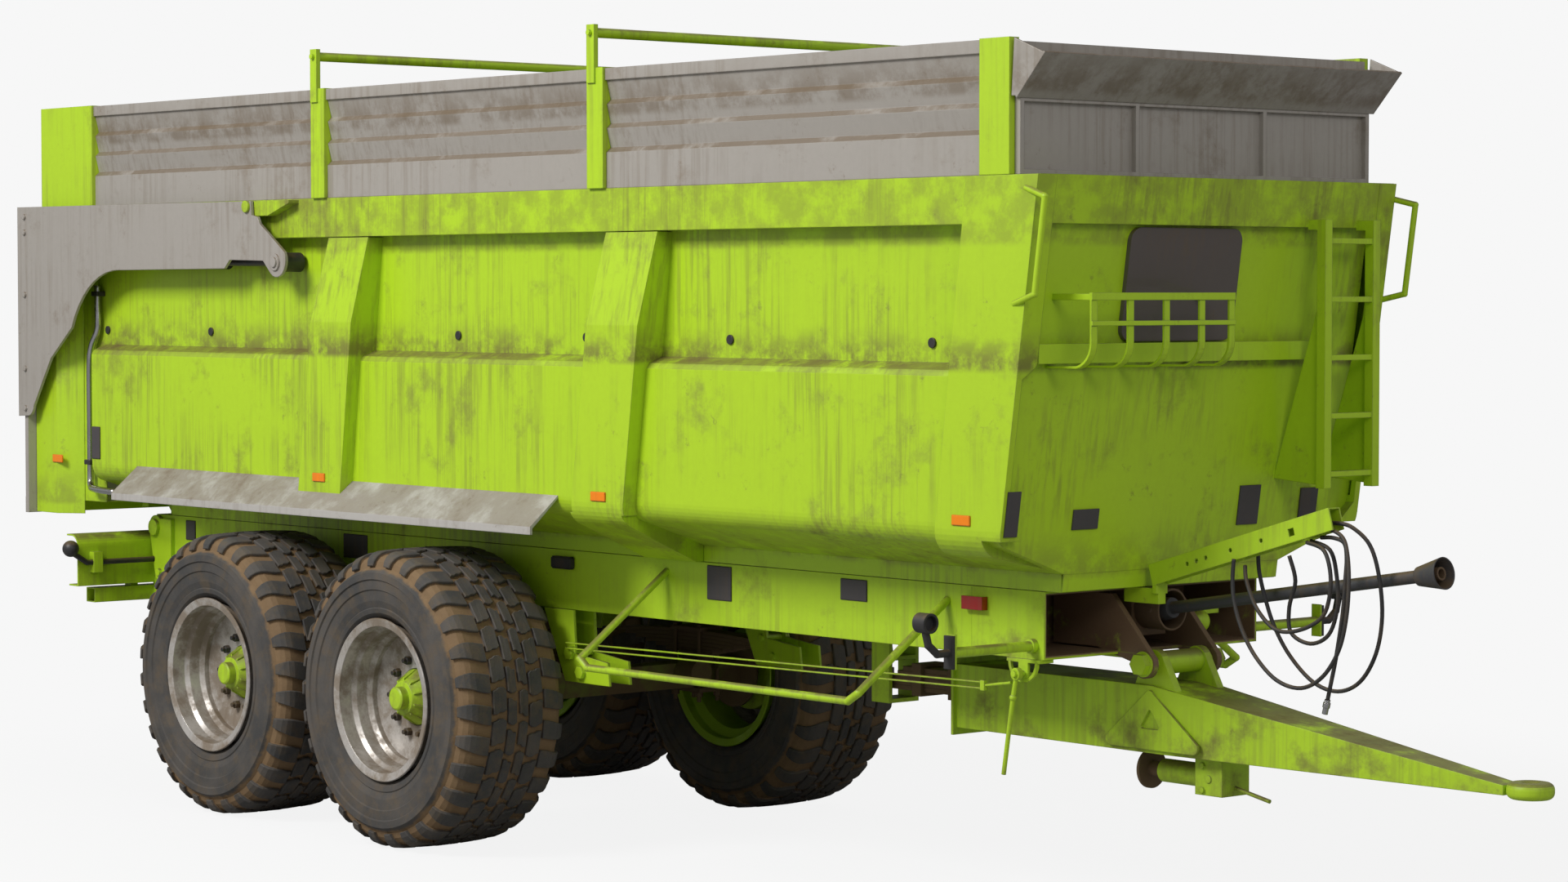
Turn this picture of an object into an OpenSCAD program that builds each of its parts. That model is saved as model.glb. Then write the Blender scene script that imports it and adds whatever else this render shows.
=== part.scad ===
// Tandem-axle rear-tipping grain trailer with a raised extension and a swing-up tailgate.
// Millimetres. +X points forward to the tow eye, +Y to the left side, +Z up.
// The origin is on the ground, under the middle of the trailer's bounding box.

/* [Tub] */
// Length of the tub along its top rail
tub_len = 7360; // [7000:10:8000]
// Width over the top rails
rail_w = 1970; // [1900:10:2010]
// Height of the top rail above the ground
rail_top = 2900; // [2800:10:3100]
// Depth of the top rail
rail_h = 180; // [140:5:220]
// How far the front wall leans back for each unit of height
front_lean = 0.145; // [0.05:0.005:0.2]
// Thickness of the tub's sheet steel
sheet_t = 6; // [4:1:10]
// How far the upper side wall is set in from the rail's outer face
wall_inset = 80; // [60:5:110]
// Height of the ledge where the lower side wall steps outward
ledge_z = 2175; // [2000:5:2400]
// Height of the raised extension above the rail
extension_h = 500; // [300:10:600]
// Height of the cover bows above the rail
bow_h = 685; // [660:5:760]

/* [Tailgate] */
// Depth of the tailgate behind the tub
gate_depth = 110; // [90:5:140]
// Thickness of the tailgate arm plates
arm_t = 15; // [10:1:20]
// Radius of the tailgate hinge pins
gate_pin_r = 28; // [20:1:32]

/* [Chassis] */
// Height of the chassis top above the ground
chassis_top = 1328; // [1300:2:1400]
// Depth of the chassis rails
chassis_h = 262; // [220:2:300]
// Width over the chassis rails
chassis_w = 1194; // [1150:2:1210]
// Wall of the chassis box sections
chassis_t = 10; // [6:1:14]
// Height of the tipping hinge below the chassis top
hinge_drop = 66; // [60:1:80]
// Radius of the tipping hinge pins
hinge_pin_r = 32; // [25:1:36]

/* [Axles and wheels] */
// Outside diameter of a tyre
tyre_d = 1333; // [1250:1:1350]
// Width of a tyre
tyre_w = 590; // [500:5:600]
// Diameter over the rim flanges
rim_d = 727; // [700:1:760]
// Distance between the tyre centres on one axle
track = 1960; // [1940:5:2060]
// Distance between the two axles
axle_gap = 1424; // [1400:2:1600]
// Distance from the tow eye's tip back to the front axle
eye_to_axle = 5427; // [5300:1:5500]
// Radius of the wheel spindles
spindle_r = 40; // [35:1:50]

/* [Drawbar] */
// How far the tow eye's tip stands ahead of the tub's front rail
eye_reach = 1555; // [1400:5:1800]
// Radius of the tow eye's hole
eye_hole_r = 25; // [20:1:30]
// Outside radius of the tow eye
eye_r = 85; // [75:1:95]
// Width of the drawbar box at its thick end
drawbar_w = 300; // [260:5:320]
// Height of the drawbar's underside
drawbar_z = 690; // [680:5:720]
// Radius of the drawbar's pivot pin
pivot_r = 30; // [25:1:36]

/* [Hidden] */
$fn = 48;

green = [0.62, 0.80, 0.12];
grey = [0.62, 0.62, 0.64];
dark = [0.13, 0.13, 0.14];
mud = [0.42, 0.34, 0.24];
silver = [0.80, 0.80, 0.82];

// Clearances that every fit uses
run_gap = 0.05;
slide_gap = 2;
seat_gap = 2;
side_gap = 4;
plate_t = 8;

// Main stations along the trailer
total_len = gate_depth + tub_len + eye_reach;
x_rear = -total_len / 2;
x_tub_back = x_rear + gate_depth;
x_tub_front = x_tub_back + tub_len;
x_eye_tip = total_len / 2;
x_axle_f = x_eye_tip - eye_to_axle;
x_axle_r = x_axle_f - axle_gap;
x_bogie = (x_axle_f + x_axle_r) / 2;
x_chassis_front = x_tub_front - 370;
x_chassis_back = x_tub_back + 515;
wheel_z = tyre_d / 2;
half_w = rail_w / 2;
corner_y = half_w + 15;
chassis_y = chassis_w / 2;
chassis_bottom = chassis_top - chassis_h;
rail_bottom = rail_top - rail_h;
ext_top = rail_top + extension_h;
bow_top = rail_top + bow_h;
rail_beam_w = 90;

// Tipping hinge
x_hinge = x_tub_back + 540;
z_hinge = chassis_top - hinge_drop;

// Tub cross-section
wall_y = half_w - wall_inset;
lower_y = half_w;
floor_z = chassis_top + 72;
belly_z = 1600;
post_z = 1542;
belly_r = 95;
x_bulge = x_tub_back + 540;

// Tailgate hinge, its arms and its cylinders
x_gate_pin = x_tub_back + 2119;
z_gate_pin = rail_top - 31;
gate_pin_y = 1045;
arm_in = 1045;
x_arm_tip = x_gate_pin + 244;
z_arm_tip = z_gate_pin - 263;
x_gate_anchor = x_gate_pin - 1100;
z_gate_anchor = z_gate_pin - 250;
gate_cyl_y = 975;
gate_cyl_r = 36;
gate_rod_r = 20;
gate_bottom = 1330;

// Drawbar pivot
x_pivot = x_chassis_front + 133;
z_pivot = chassis_bottom - 31;
chassis_lug_y = 178;
chassis_lug_t = 26;
drawbar_lug_y = 118;
drawbar_lug_t = 34;
drawbar_top = 950;
x_drawbar_back = x_pivot - 1095;
z_eye = 706;

// Tipping cylinder
x_tip_cyl = x_bogie;
z_trunnion = chassis_top - 208;
barrel_r = 78;
barrel_top = z_trunnion + 100;
barrel_bottom = z_trunnion - 640;
cradle_y = 112;
cradle_t = 26;
trunnion_r = 28;
z_tip_eye = floor_z - 55;
stage_r = [66, 55, 44];
stage_wall = 7;

// Channel that carries the hoses
arm_y = -140;

// Power shaft
x_pto = x_chassis_front + 60;
z_pto = chassis_bottom + 168;
pto_tilt = 9;
pto_guard_r = 24;
pto_shaft_r = 18;
pto_len = 1412;
pto_bore_r = 17.5;

// Parking stand
x_stand = x_pivot + 235;
z_stand = drawbar_z - 86;
stand_r = 46;
stand_rod_r = 30;
stand_pin_r = 15;

// Swinging underrun bar
x_underrun = x_hinge - 50;
x_under_pivot = x_hinge + 40;
z_under_pivot = z_hinge - 230;
underrun_y = 1043;

// Locking rods of the underrun bar
x_lock = x_underrun + 24;
z_lock = z_hinge - 165;
lock_r = 14;

// Hand-brake lever
x_brake = x_chassis_front - 100;
z_brake = chassis_bottom - 56;
brake_y = -chassis_y - 48;

// Hose routes, hand-chosen, as [x, y, z]
hose_d = 16;
hose_1_route = [[3180, -185, 1467], [3180, -192, 1395], [3200, -206, 1315], [3250, -220, 1215],
                [3330, -230, 1115], [3440, -235, 1035], [3560, -235, 1015], [3660, -230, 1065],
                [3730, -224, 1165], [3760, -218, 1285], [3760, -205, 1415], [3735, -185, 1515],
                [3695, -165, 1572], [3630, -154, 1597], [3570, -150, 1592]];
hose_2_route = [[3220, -95, 1479], [3220, -88, 1415], [3235, -74, 1325], [3270, -60, 1215],
                [3340, -48, 1105], [3450, -42, 1015], [3570, -42, 990], [3680, -46, 1035],
                [3760, -52, 1145], [3795, -60, 1285], [3790, -74, 1435], [3760, -90, 1545],
                [3700, -114, 1606], [3640, -126, 1621], [3570, -130, 1616]];
hose_3_route = [[3570, -140, 1565], [3630, -140, 1567], [3685, -144, 1550], [3705, -154, 1495],
                [3710, -167, 1415], [3710, -177, 1315], [3695, -179, 1215], [3675, -179, 1115],
                [3655, -179, 1035], [3640, -179, 975]];
hose_4_route = [[3415, -140, 1490], [3430, -122, 1395], [3390, -110, 1295], [3395, -105, 1200],
                [3485, -100, 1165], [3575, -100, 1205], [3620, -105, 1310], [3620, -110, 1425],
                [3600, -125, 1520], [3515, -135, 1550]];
hose_5_route = [[3205, -150, 1440], [3240, -180, 1385], [3305, -200, 1295], [3395, -208, 1225],
                [3480, -208, 1215], [3580, -205, 1245], [3645, -200, 1300], [3670, -200, 1415],
                [3630, -190, 1520], [3515, -155, 1545]];
coupling_len = 55;

// ---- helpers ----

// Points of an arc about (cx, cy), from angle a0 to a1
function arc(cx, cy, r, a0, a1, n = 8) =
    [for (i = [0:n]) [cx + r * cos(a0 + (a1 - a0) * i / n), cy + r * sin(a0 + (a1 - a0) * i / n)]];

// X of the leaning front plane at height z
function front_x(z) = x_tub_front - front_lean * (rail_top - z);

// Box from its lowest to its highest corner
module span(lo, hi) {
    translate(lo)
    cube(hi - lo);
}

// Side-view outline (x, z) made into a plate between y0 and y1
module side_plate(points, y0, y1) {
    translate([0, y1, 0])
    rotate([90, 0, 0])
    linear_extrude(height = y1 - y0)
    polygon(points);
}

// Cross-section outline (y, z) run along X from x0 to x1
module run_x(points, x0, x1) {
    translate([x0, 0, 0])
    rotate([90, 0, 90])
    linear_extrude(height = x1 - x0)
    polygon(points);
}

// Cylinders along Y, X and Z, each from its low end to its high end
module rod_y(x, z, r, y0, y1) {
    translate([x, y1, z])
    rotate([90, 0, 0])
    cylinder(r = r, h = y1 - y0);
}

module rod_x(y, z, r, x0, x1) {
    translate([x0, y, z])
    rotate([0, 90, 0])
    cylinder(r = r, h = x1 - x0);
}

module rod_z(x, y, r, z0, z1) {
    translate([x, y, z0])
    cylinder(r = r, h = z1 - z0);
}

// Round bar between two points
module bar(a, b, r) {
    d = b - a;
    len = norm(d);
    translate(a)
    rotate([0, acos(d[2] / len), atan2(d[1], d[0])])
    cylinder(r = r, h = len);
}

// Bent round tube along points, with a ball at each bend
module bent_tube(points, r) {
    for (i = [0:len(points) - 2])
        bar(points[i], points[i + 1], r);
    for (i = [1:len(points) - 2])
        translate(points[i])
        sphere(r = r + 0.6);
}

// The same shape on both sides of the trailer
module both_sides() {
    children();
    mirror([0, 1, 0])
    children();
}

// Hex head on a bolt or pin that runs along Y
module hex_head_y(x, z, r, y0, y1) {
    translate([x, y1, z])
    rotate([90, 0, 0])
    cylinder(r = r, h = y1 - y0, $fn = 6);
}

// Cubic through hand-chosen route points, as evenly stepped rings
function route_at(p, t) =
    let (n = len(p) - 1, i = min(n - 1, floor(t)), u = t - i,
         a = p[max(0, i - 1)], b = p[i], c = p[i + 1], d = p[min(n, i + 2)])
    0.5 * ((2 * b) + (c - a) * u + (2 * a - 5 * b + 4 * c - d) * u * u
           + (3 * b - a - 3 * c + d) * u * u * u);
function unit(v) = v / norm(v);
function ring_dir(p, i, n) =
    let (k = (len(p) - 1) / n)
    unit(route_at(p, min(len(p) - 1, (i + 0.4) * k)) - route_at(p, max(0, (i - 0.4) * k)));
function ring(p, i, n, r, sides) =
    let (c = route_at(p, i * (len(p) - 1) / n), t = ring_dir(p, i, n),
         s = unit(cross(t, [0, 1, 0.02])), w = cross(t, s))
    [for (j = [0:sides - 1]) c + r * (cos(360 * j / sides) * s + sin(360 * j / sides) * w)];

// Tube swept along a route
module swept_tube(p, d, n, sides = 8) {
    points = [for (i = [0:n]) each ring(p, i, n, d / 2, sides)];
    walls = [for (i = [0:n - 1]) for (j = [0:sides - 1])
             let (a = i * sides, b = a + sides, k = (j + 1) % sides)
             each [[a + j, a + k, b + k], [a + j, b + k, b + j]]];
    first = [for (j = [1:sides - 2]) [0, j + 1, j]];
    last = [for (j = [1:sides - 2]) [n * sides, n * sides + j, n * sides + j + 1]];
    polyhedron(points = points, faces = concat(walls, first, last));
}

// ---- chassis ----

// One hollow chassis rail on the left side
module chassis_rail() {
    difference() {
        span([x_chassis_back, chassis_y - rail_beam_w, chassis_bottom],
             [x_chassis_front - 400, chassis_y, chassis_top]);
        span([x_chassis_back - 1, chassis_y - rail_beam_w + chassis_t, chassis_bottom + chassis_t],
             [x_chassis_front - 399, chassis_y - chassis_t, chassis_top - chassis_t]);
        rod_y(x_lock, z_lock, lock_r + 4, chassis_y - chassis_t - 10, chassis_y + 1);
    }
}

// Hollow crossmember centred on x
module crossmember(x, w = 80) {
    inner_y = chassis_y - rail_beam_w;
    difference() {
        span([x - w / 2, -inner_y, chassis_bottom + 34], [x + w / 2, inner_y, chassis_top - 38]);
        span([x - w / 2 + 6, -inner_y - 1, chassis_bottom + 40],
             [x + w / 2 - 6, inner_y + 1, chassis_top - 44]);
    }
}

// Plate that holds the tipping hinge and, lower down, the underrun bar's pivot
module hinge_lug() {
    outline = concat(arc(x_hinge, z_hinge, 62, 40, 190, 12),
                     arc(x_under_pivot, z_under_pivot, 48, 190, 340, 10),
                     [[x_hinge + 150, chassis_bottom], [x_hinge + 150, chassis_top - 20],
                      [x_hinge + 48, chassis_top - 20]]);
    difference() {
        side_plate(outline, chassis_y + 2, chassis_y + 24);
        rod_y(x_hinge, z_hinge, hinge_pin_r, chassis_y - 30, chassis_y + 60);
        rod_y(x_under_pivot, z_under_pivot, 20, chassis_y - 30, chassis_y + 60);
        rod_y(x_lock, z_lock, lock_r + 4, chassis_y - 30, chassis_y + 60);
    }
    span([x_hinge + 70, chassis_y, chassis_bottom + 20], [x_hinge + 150, chassis_y + 3, chassis_top - 30]);
}

// Bearing plates for the tipping cylinder, between two crossmembers
module cylinder_cradle() {
    for (x = [x_tip_cyl - 210, x_tip_cyl + 210])
        crossmember(x);
    both_sides()
        difference() {
            span([x_tip_cyl - 172, cradle_y, chassis_bottom + 5],
                 [x_tip_cyl + 172, cradle_y + cradle_t, chassis_top - 40]);
            rod_y(x_tip_cyl, z_trunnion, trunnion_r + run_gap, cradle_y - 1, cradle_y + cradle_t + 1);
        }
}

// Slipper box in which the rear end of the drawbar's spring moves up and down
module spring_slipper() {
    x0 = x_drawbar_back - 590;
    z0 = 760;
    for (y = [-84, 66])
        span([x0, y, z0], [x0 + 110, y + 18, chassis_bottom + 60]);
    span([x0, -84, z0 - 18], [x0 + 110, 84, z0]);
    span([x0, -84, z0 + 160], [x0 + 110, 84, z0 + 178]);
}

module chassis_frame() {
    color(green) {
        both_sides()
            chassis_rail();
        both_sides()
            hinge_lug();
        for (x = [x_chassis_back + 285, x_axle_r - 300, x_axle_f + 620, x_axle_f + 1500,
                  x_drawbar_back - 535])
            crossmember(x);
        cylinder_cradle();
        spring_slipper();
    }
}

// Open-fronted box beam that closes the chassis and carries the drawbar
module front_beam() {
    x0 = x_chassis_front - 400;
    gusset = [[x0 + 40, chassis_bottom + 20], [x0 + 280, chassis_bottom + 20], [x_pivot - 44, z_pivot],
              each arc(x_pivot, z_pivot, 56, 190, 385, 14),
              [x_chassis_front - 40, chassis_top - 30], [x0 + 40, chassis_top - 30]];
    color(green) {
        difference() {
            span([x0, -chassis_y, chassis_bottom], [x_chassis_front, chassis_y, chassis_top]);
            span([x0 + 12, -chassis_y + 12, chassis_bottom + 14],
                 [x_chassis_front + 1, chassis_y - 12, chassis_top - 14]);
            for (s = [-1, 1])
                span([x_pivot - 240, s * chassis_lug_y - 14, chassis_bottom - 1],
                     [x_chassis_front + 1, s * chassis_lug_y + 14, chassis_bottom + 15]);
        }
        both_sides()
            difference() {
                side_plate(gusset, chassis_lug_y - chassis_lug_t / 2, chassis_lug_y + chassis_lug_t / 2);
                rod_y(x_pivot, z_pivot, pivot_r, chassis_lug_y - 20, chassis_lug_y + 20);
            }
        difference() {
            span([x0 + 12, -95, chassis_bottom + 60], [x_pto - 84, 95, chassis_top - 14]);
            span([x0 + 24, -83, chassis_bottom + 59], [x_pto - 96, 83, chassis_top - 26]);
        }
        span([x_brake - 90, -chassis_y - 14, chassis_bottom - 14], [x_brake + 90, -chassis_y + 60,
                chassis_bottom]);
        span([x_brake - 26, -chassis_y - 14, z_brake - 24], [x_brake + 26, -chassis_y - 2,
                chassis_bottom - 13]);
        rod_y(x_brake, z_brake, 12, brake_y - 20, -chassis_y - 3);
        side_plate(concat(arc(x_brake, chassis_bottom - 12, 80, 180, 360, 12),
                          arc(x_brake, chassis_bottom - 12, 66, 360, 180, 12)), -chassis_y - 16,
                                  -chassis_y - 4);
    }
}

// Pins of the drawbar, of the tipping hinge and of the underrun bar
module hinge_pins() {
    y_head = chassis_lug_y + chassis_lug_t / 2;
    color(green) {
        rod_y(x_pivot, z_pivot, pivot_r, -y_head - 30, y_head + 30);
        for (s = [-1, 1])
            hex_head_y(x_pivot, z_pivot, 44, min(s * (y_head + 4), s * (y_head + 34)),
                       max(s * (y_head + 4), s * (y_head + 34)));
        both_sides()
            rod_y(x_pivot, z_pivot, 50, y_head, y_head + 6);
        both_sides() {
            rod_y(x_hinge, z_hinge, hinge_pin_r, chassis_y - 160, chassis_y + 34);
            rod_y(x_hinge, z_hinge, hinge_pin_r + 10, chassis_y + 24, chassis_y + 42);
            rod_y(x_under_pivot, z_under_pivot, 20, chassis_y - 24, chassis_y + 40);
        }
    }
}

// One pair of hanger cheeks around a spring end, on the left side
module hanger(x, front) {
    y_mid = chassis_y - rail_beam_w / 2;
    dir = front ? 1 : -1;
    cheek = [[x - dir * 235, chassis_bottom], [x - dir * 20, chassis_bottom], [x - dir * 5,
            chassis_bottom - 190],
             [x + dir * 225, chassis_bottom - 215], [x + dir * 238, chassis_bottom - 317],
             [x - dir * 80, chassis_bottom - 317]];
    for (y = [y_mid - 63, y_mid + 51])
        side_plate(cheek, y, y + 12);
    rod_y(x - dir * 40, chassis_bottom - 190, 16, y_mid - 75, y_mid + 78);
    rod_y(x + dir * 40, chassis_bottom - 270, 16, y_mid - 75, y_mid + 78);
    hex_head_y(x - dir * 40, chassis_bottom - 190, 30, y_mid + 63, y_mid + 82);
    hex_head_y(x + dir * 40, chassis_bottom - 270, 30, y_mid + 63, y_mid + 82);
}

// Rocker that joins the front and rear springs, on the left side
module equaliser() {
    y_mid = chassis_y - rail_beam_w / 2;
    bracket = [[x_bogie - 130, chassis_bottom], [x_bogie + 130, chassis_bottom],
               [x_bogie + 50, chassis_bottom - 230], [x_bogie - 50, chassis_bottom - 230]];
    rocker = [[x_bogie - 190, chassis_bottom - 70], [x_bogie - 190, chassis_bottom - 100],
              [x_bogie - 60, chassis_bottom - 130], [x_bogie - 40, chassis_bottom - 222],
              [x_bogie + 40, chassis_bottom - 222], [x_bogie + 60, chassis_bottom - 130],
              [x_bogie + 190, chassis_bottom - 100], [x_bogie + 190, chassis_bottom - 70]];
    for (y = [y_mid - 63, y_mid + 51])
        side_plate(bracket, y, y + 12);
    side_plate(rocker, y_mid - 45, y_mid + 45);
    rod_y(x_bogie, chassis_bottom - 185, 22, y_mid - 78, y_mid + 78);
}

module spring_hangers() {
    color(green)
        both_sides() {
            hanger(x_axle_f + 594, true);
            hanger(x_axle_r - 594, false);
            equaliser();
        }
}

// One leaf, arched upward in the middle, as a strip of an arc
module leaf(x, half_len, z_mid, t, w, y_mid) {
    r = 6200;
    a = asin(half_len / r);
    outline = concat(arc(x, z_mid - r, r, 90 - a, 90 + a, 10), arc(x, z_mid - r, r - t, 90 + a, 90 - a, 10));
    side_plate(outline, y_mid - w / 2, y_mid + w / 2);
}

// Leaf pack over one axle with its seat, plates and U-bolts, on the left side
module leaf_pack(x) {
    y_mid = chassis_y - rail_beam_w / 2;
    leaf_t = 18;
    top = wheel_z + 62 + 40 + 6 * leaf_t;
    for (i = [0:5])
        leaf(x, 565 - i * 78, top - i * leaf_t, leaf_t - 1, 88, y_mid);
    span([x - 70, y_mid - 50, wheel_z + 61], [x + 70, y_mid + 50, wheel_z + 108]);
    span([x - 110, y_mid - 70, top - 4], [x + 110, y_mid + 70, top + 14]);
    span([x - 110, y_mid - 70, wheel_z - 82], [x + 110, y_mid + 70, wheel_z - 61]);
    for (dx = [-88, 88])
        for (dy = [-56, 56]) {
            rod_z(x + dx, y_mid + dy, 10, wheel_z - 128, top + 26);
            translate([x + dx, y_mid + dy, wheel_z - 104])
            cylinder(r = 19, h = 23, $fn = 6);
        }
}

module leaf_springs() {
    color([0.30, 0.36, 0.12])
        both_sides() {
            leaf_pack(x_axle_f);
            leaf_pack(x_axle_r);
        }
}

// Square axle beam with turned spindles, brake backplates and brake cylinders
module axle(x) {
    spindle_end = track / 2 + 118;
    seat_y = track / 2 - 185;
    span([x - 60, -seat_y, wheel_z - 60], [x + 60, seat_y, wheel_z + 60]);
    both_sides() {
        rod_y(x, wheel_z, spindle_r, seat_y - 1, spindle_end);
        rod_y(x, wheel_z, 178, seat_y - 22, seat_y - 10);
        rod_y(x + 110, wheel_z + 40, 16, seat_y - 210, seat_y - 22);
        span([x + 50, seat_y - 200, wheel_z + 20], [x + 104, seat_y - 180, wheel_z + 52]);
    }
    rod_x(430, wheel_z + 20, 62, x + 62, x + 190);
    rod_x(-430, wheel_z + 20, 62, x + 62, x + 190);
}

module axles() {
    color([0.25, 0.30, 0.10]) {
        axle(x_axle_f);
        axle(x_axle_r);
    }
}

// Bent tube side guards
module side_guards() {
    x0 = x_axle_f + 1210;
    x1 = x_axle_f + 2965;
    y_out = 1065;
    color(green)
        both_sides()
            bent_tube([[x0, chassis_y - 2, chassis_top - 52], [x0, y_out, 930], [x0 + 50, y_out, 895],
                       [x1 - 60, y_out, 895], [x1, y_out, 930], [x1, chassis_y - 2, chassis_top - 62]], 16);
}

x_marker = x_chassis_front - 57;
z_marker = chassis_bottom + 52;

// Tubes that carry the front marker lamps, with their clamp plates
module marker_arms() {
    color(green)
        both_sides() {
            rod_y(x_marker, z_marker, 20, chassis_y, 1022);
            rod_y(x_marker, z_marker, 28, chassis_y, chassis_y + 24);
            span([x_marker - 24, 1022, z_marker - 62], [x_marker + 24, 1030, z_marker + 70]);
        }
}

// Rubber arms with their round lamps
module marker_lamps() {
    color(dark)
        both_sides() {
            span([x_marker - 24, 1030.5, z_marker - 60], [x_marker + 24, 1044, z_marker + 66]);
            bent_tube([[x_marker, 1040, z_marker], [x_marker, 1100, z_marker], [x_marker, 1145,
                    z_marker + 36],
                       [x_marker, 1160, z_marker + 88]], 15);
            difference() {
                rod_x(1160, z_marker + 120, 38, x_marker - 32, x_marker + 32);
                rod_x(1160, z_marker + 120, 29, x_marker + 8, x_marker + 33);
                rod_x(1160, z_marker + 120, 29, x_marker - 33, x_marker - 8);
            }
        }
}

// Side lamps on the front beam and lamp clusters on the underrun bar
module red_lamps() {
    x = x_chassis_front - 370;
    color([0.7, 0.06, 0.05])
        both_sides() {
            span([x - 58, chassis_y + 1, chassis_top - 90], [x + 58, chassis_y + 30, chassis_top - 38]);
            span([x_underrun - 128, 720, z_hinge - 200], [x_underrun - 9, 960, z_hinge - 100]);
        }
}

// Sloping channel that holds the hoses over the drawbar
module hose_arm() {
    slope = 16;
    len = 943;
    color(green)
        translate([x_chassis_front + 156, arm_y, chassis_top + 24])
        rotate([0, -slope, 0])
        difference() {
            span([0, -32, -14], [len, 32, 70]);
            span([-1, -26, -15], [len + 1, 26, 64]);
            for (x = [200, 250, 300, 430, 590])
                rod_y(x, 28, 8, -33, 33);
            span([730, -33, 10], [758, 33, 38]);
        }
    // Bracket from the chassis beam up to the channel
    color(green) {
        span([x_chassis_front - 3, arm_y - 20, chassis_top - 60], [x_chassis_front + 180, arm_y + 20,
                chassis_top]);
        span([x_chassis_front + 158, arm_y - 31, chassis_top - 20], [x_chassis_front + 180, arm_y + 31,
                chassis_top + 24]);
    }
}

// Fixed guard bell around the power shaft's rear joint
module pto_bell() {
    color(mud)
        translate([x_pto - 84, 0, z_pto])
        rotate([0, 90, 0])
        difference() {
            union() {
                cylinder(r = 82, h = 128);
                cylinder(r = 60, h = 10);
            }
            translate([0, 0, 14])
            cylinder(r = 74, h = 120);
        }
    // Pins on which the guard tilts
    color(mud)
        both_sides()
            rod_y(x_pto, z_pto, 9, 52, 86);
}

// Gas-charged accumulator and its valve block in the front beam
module accumulator() {
    x1 = x_chassis_front - 20;
    color(green) {
        rod_x(330, chassis_bottom + 92, 48, x1 - 210, x1 - 50);
        translate([x1 - 50, 330, chassis_bottom + 92])
        sphere(r = 48);
        span([x1 - 120, 352, chassis_bottom + 120], [x1 - 40, 440, chassis_bottom + 176]);
        span([x1 - 240, 290, chassis_bottom + 13], [x1 - 90, 370, chassis_bottom + 50]);
    }
}

// ---- rear underrun bar ----

// Curved plate and lower beam that swing down as the tub tips
module underrun_bar() {
    z0 = z_hinge - 286;
    z1 = z_hinge - 24;
    xf = x_underrun;
    outer = concat([[xf, z0 + 8]], [[xf, z1 - 60]], arc(xf - 60, z1 - 60, 60, 0, 90, 8), [[xf - 110, z1]],
                   [[xf - 110, z1 - 8]], arc(xf - 60, z1 - 60, 52, 90, 0, 8), [[xf - 8, z0 + 8]],
                   [[xf - 90, z0 + 8], [xf - 90, z0], [xf, z0]]);
    arm = concat(arc(x_under_pivot, z_under_pivot, 40, -100, 60, 8),
                 [[xf - 20, z_under_pivot + 70], [xf - 20, z0 - 84], [xf + 10, z0 - 84]]);
    color(green) {
        side_plate(outer, -underrun_y, underrun_y);
        both_sides()
            difference() {
                side_plate(arm, chassis_y - 18, chassis_y - 2);
                rod_y(x_under_pivot, z_under_pivot, 20 + run_gap, chassis_y - 19, chassis_y);
                rod_y(x_lock, z_lock, lock_r + 4, chassis_y - 19, chassis_y);
            }
        difference() {
            span([xf - 100, -938, z0 - 88], [xf - 16, 938, z0 - 14]);
            span([xf - 94, -939, z0 - 82], [xf - 22, 939, z0 - 20]);
        }
        for (y = [-700, 0, 700])
            span([xf - 90, y - 20, z0 - 15], [xf - 30, y + 20, z0 + 1]);
        both_sides()
            for (y = [950, 570])
                difference() {
                    span([xf - 1, y - 26, z_hinge - 218], [xf + 44, y + 26, z_hinge - 112]);
                    rod_y(x_lock, z_lock, lock_r + run_gap, y - 27, y + 27);
                }
    }
}

// Ball-ended locking rods in their clamps
module lock_rod() {
    color(dark)
        both_sides() {
            rod_y(x_lock, z_lock, lock_r, 520, 1005);
            translate([x_lock, 1005, z_lock])
            sphere(r = lock_r);
            bar([x_lock, 1005, z_lock], [x_lock, 1085, z_lock + 50], lock_r);
            translate([x_lock, 1098, z_lock + 74])
            sphere(r = 42);
        }
}

// ---- wheels ----

// Side-wall and tread outline of a tyre, as radius and distance from its centre plane
half_tyre = tyre_w / 2;
bead_r = rim_d / 2 - 29;
bolt_circle_r = 167.5;

module tyre_shape() {
    crown = tyre_d / 2;
    right = [[bead_r, half_tyre - 62], [rim_d / 2 + 2, half_tyre - 22], [rim_d / 2 + 70, half_tyre - 3],
             [rim_d / 2 + 130, half_tyre], each arc(crown - 70, half_tyre - 70, 70, 62, 62, 1),
             [crown - 46, half_tyre - 14], [crown - 14, half_tyre - 46], [crown, half_tyre - 96]];
    left = [for (i = [len(right) - 1:-1:0]) [right[i][0], -right[i][1]]];
    inner = [[bead_r, -half_tyre + 84], [rim_d / 2 + 60, -half_tyre + 30], [crown - 90, -half_tyre + 36],
             [crown - 52, -half_tyre + 120], [crown - 52, half_tyre - 120], [crown - 90, half_tyre - 36],
             [rim_d / 2 + 60, half_tyre - 30], [bead_r, half_tyre - 84]];
    rotate([90, 0, 0])
    rotate_extrude($fn = 96)
    polygon(concat([for (i = [0, 1, 2, 3, 6, 7, 8]) right[i]], [for (i = [0, 1, 2, 5, 6, 7, 8]) left[i]],
            inner));
}

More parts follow.
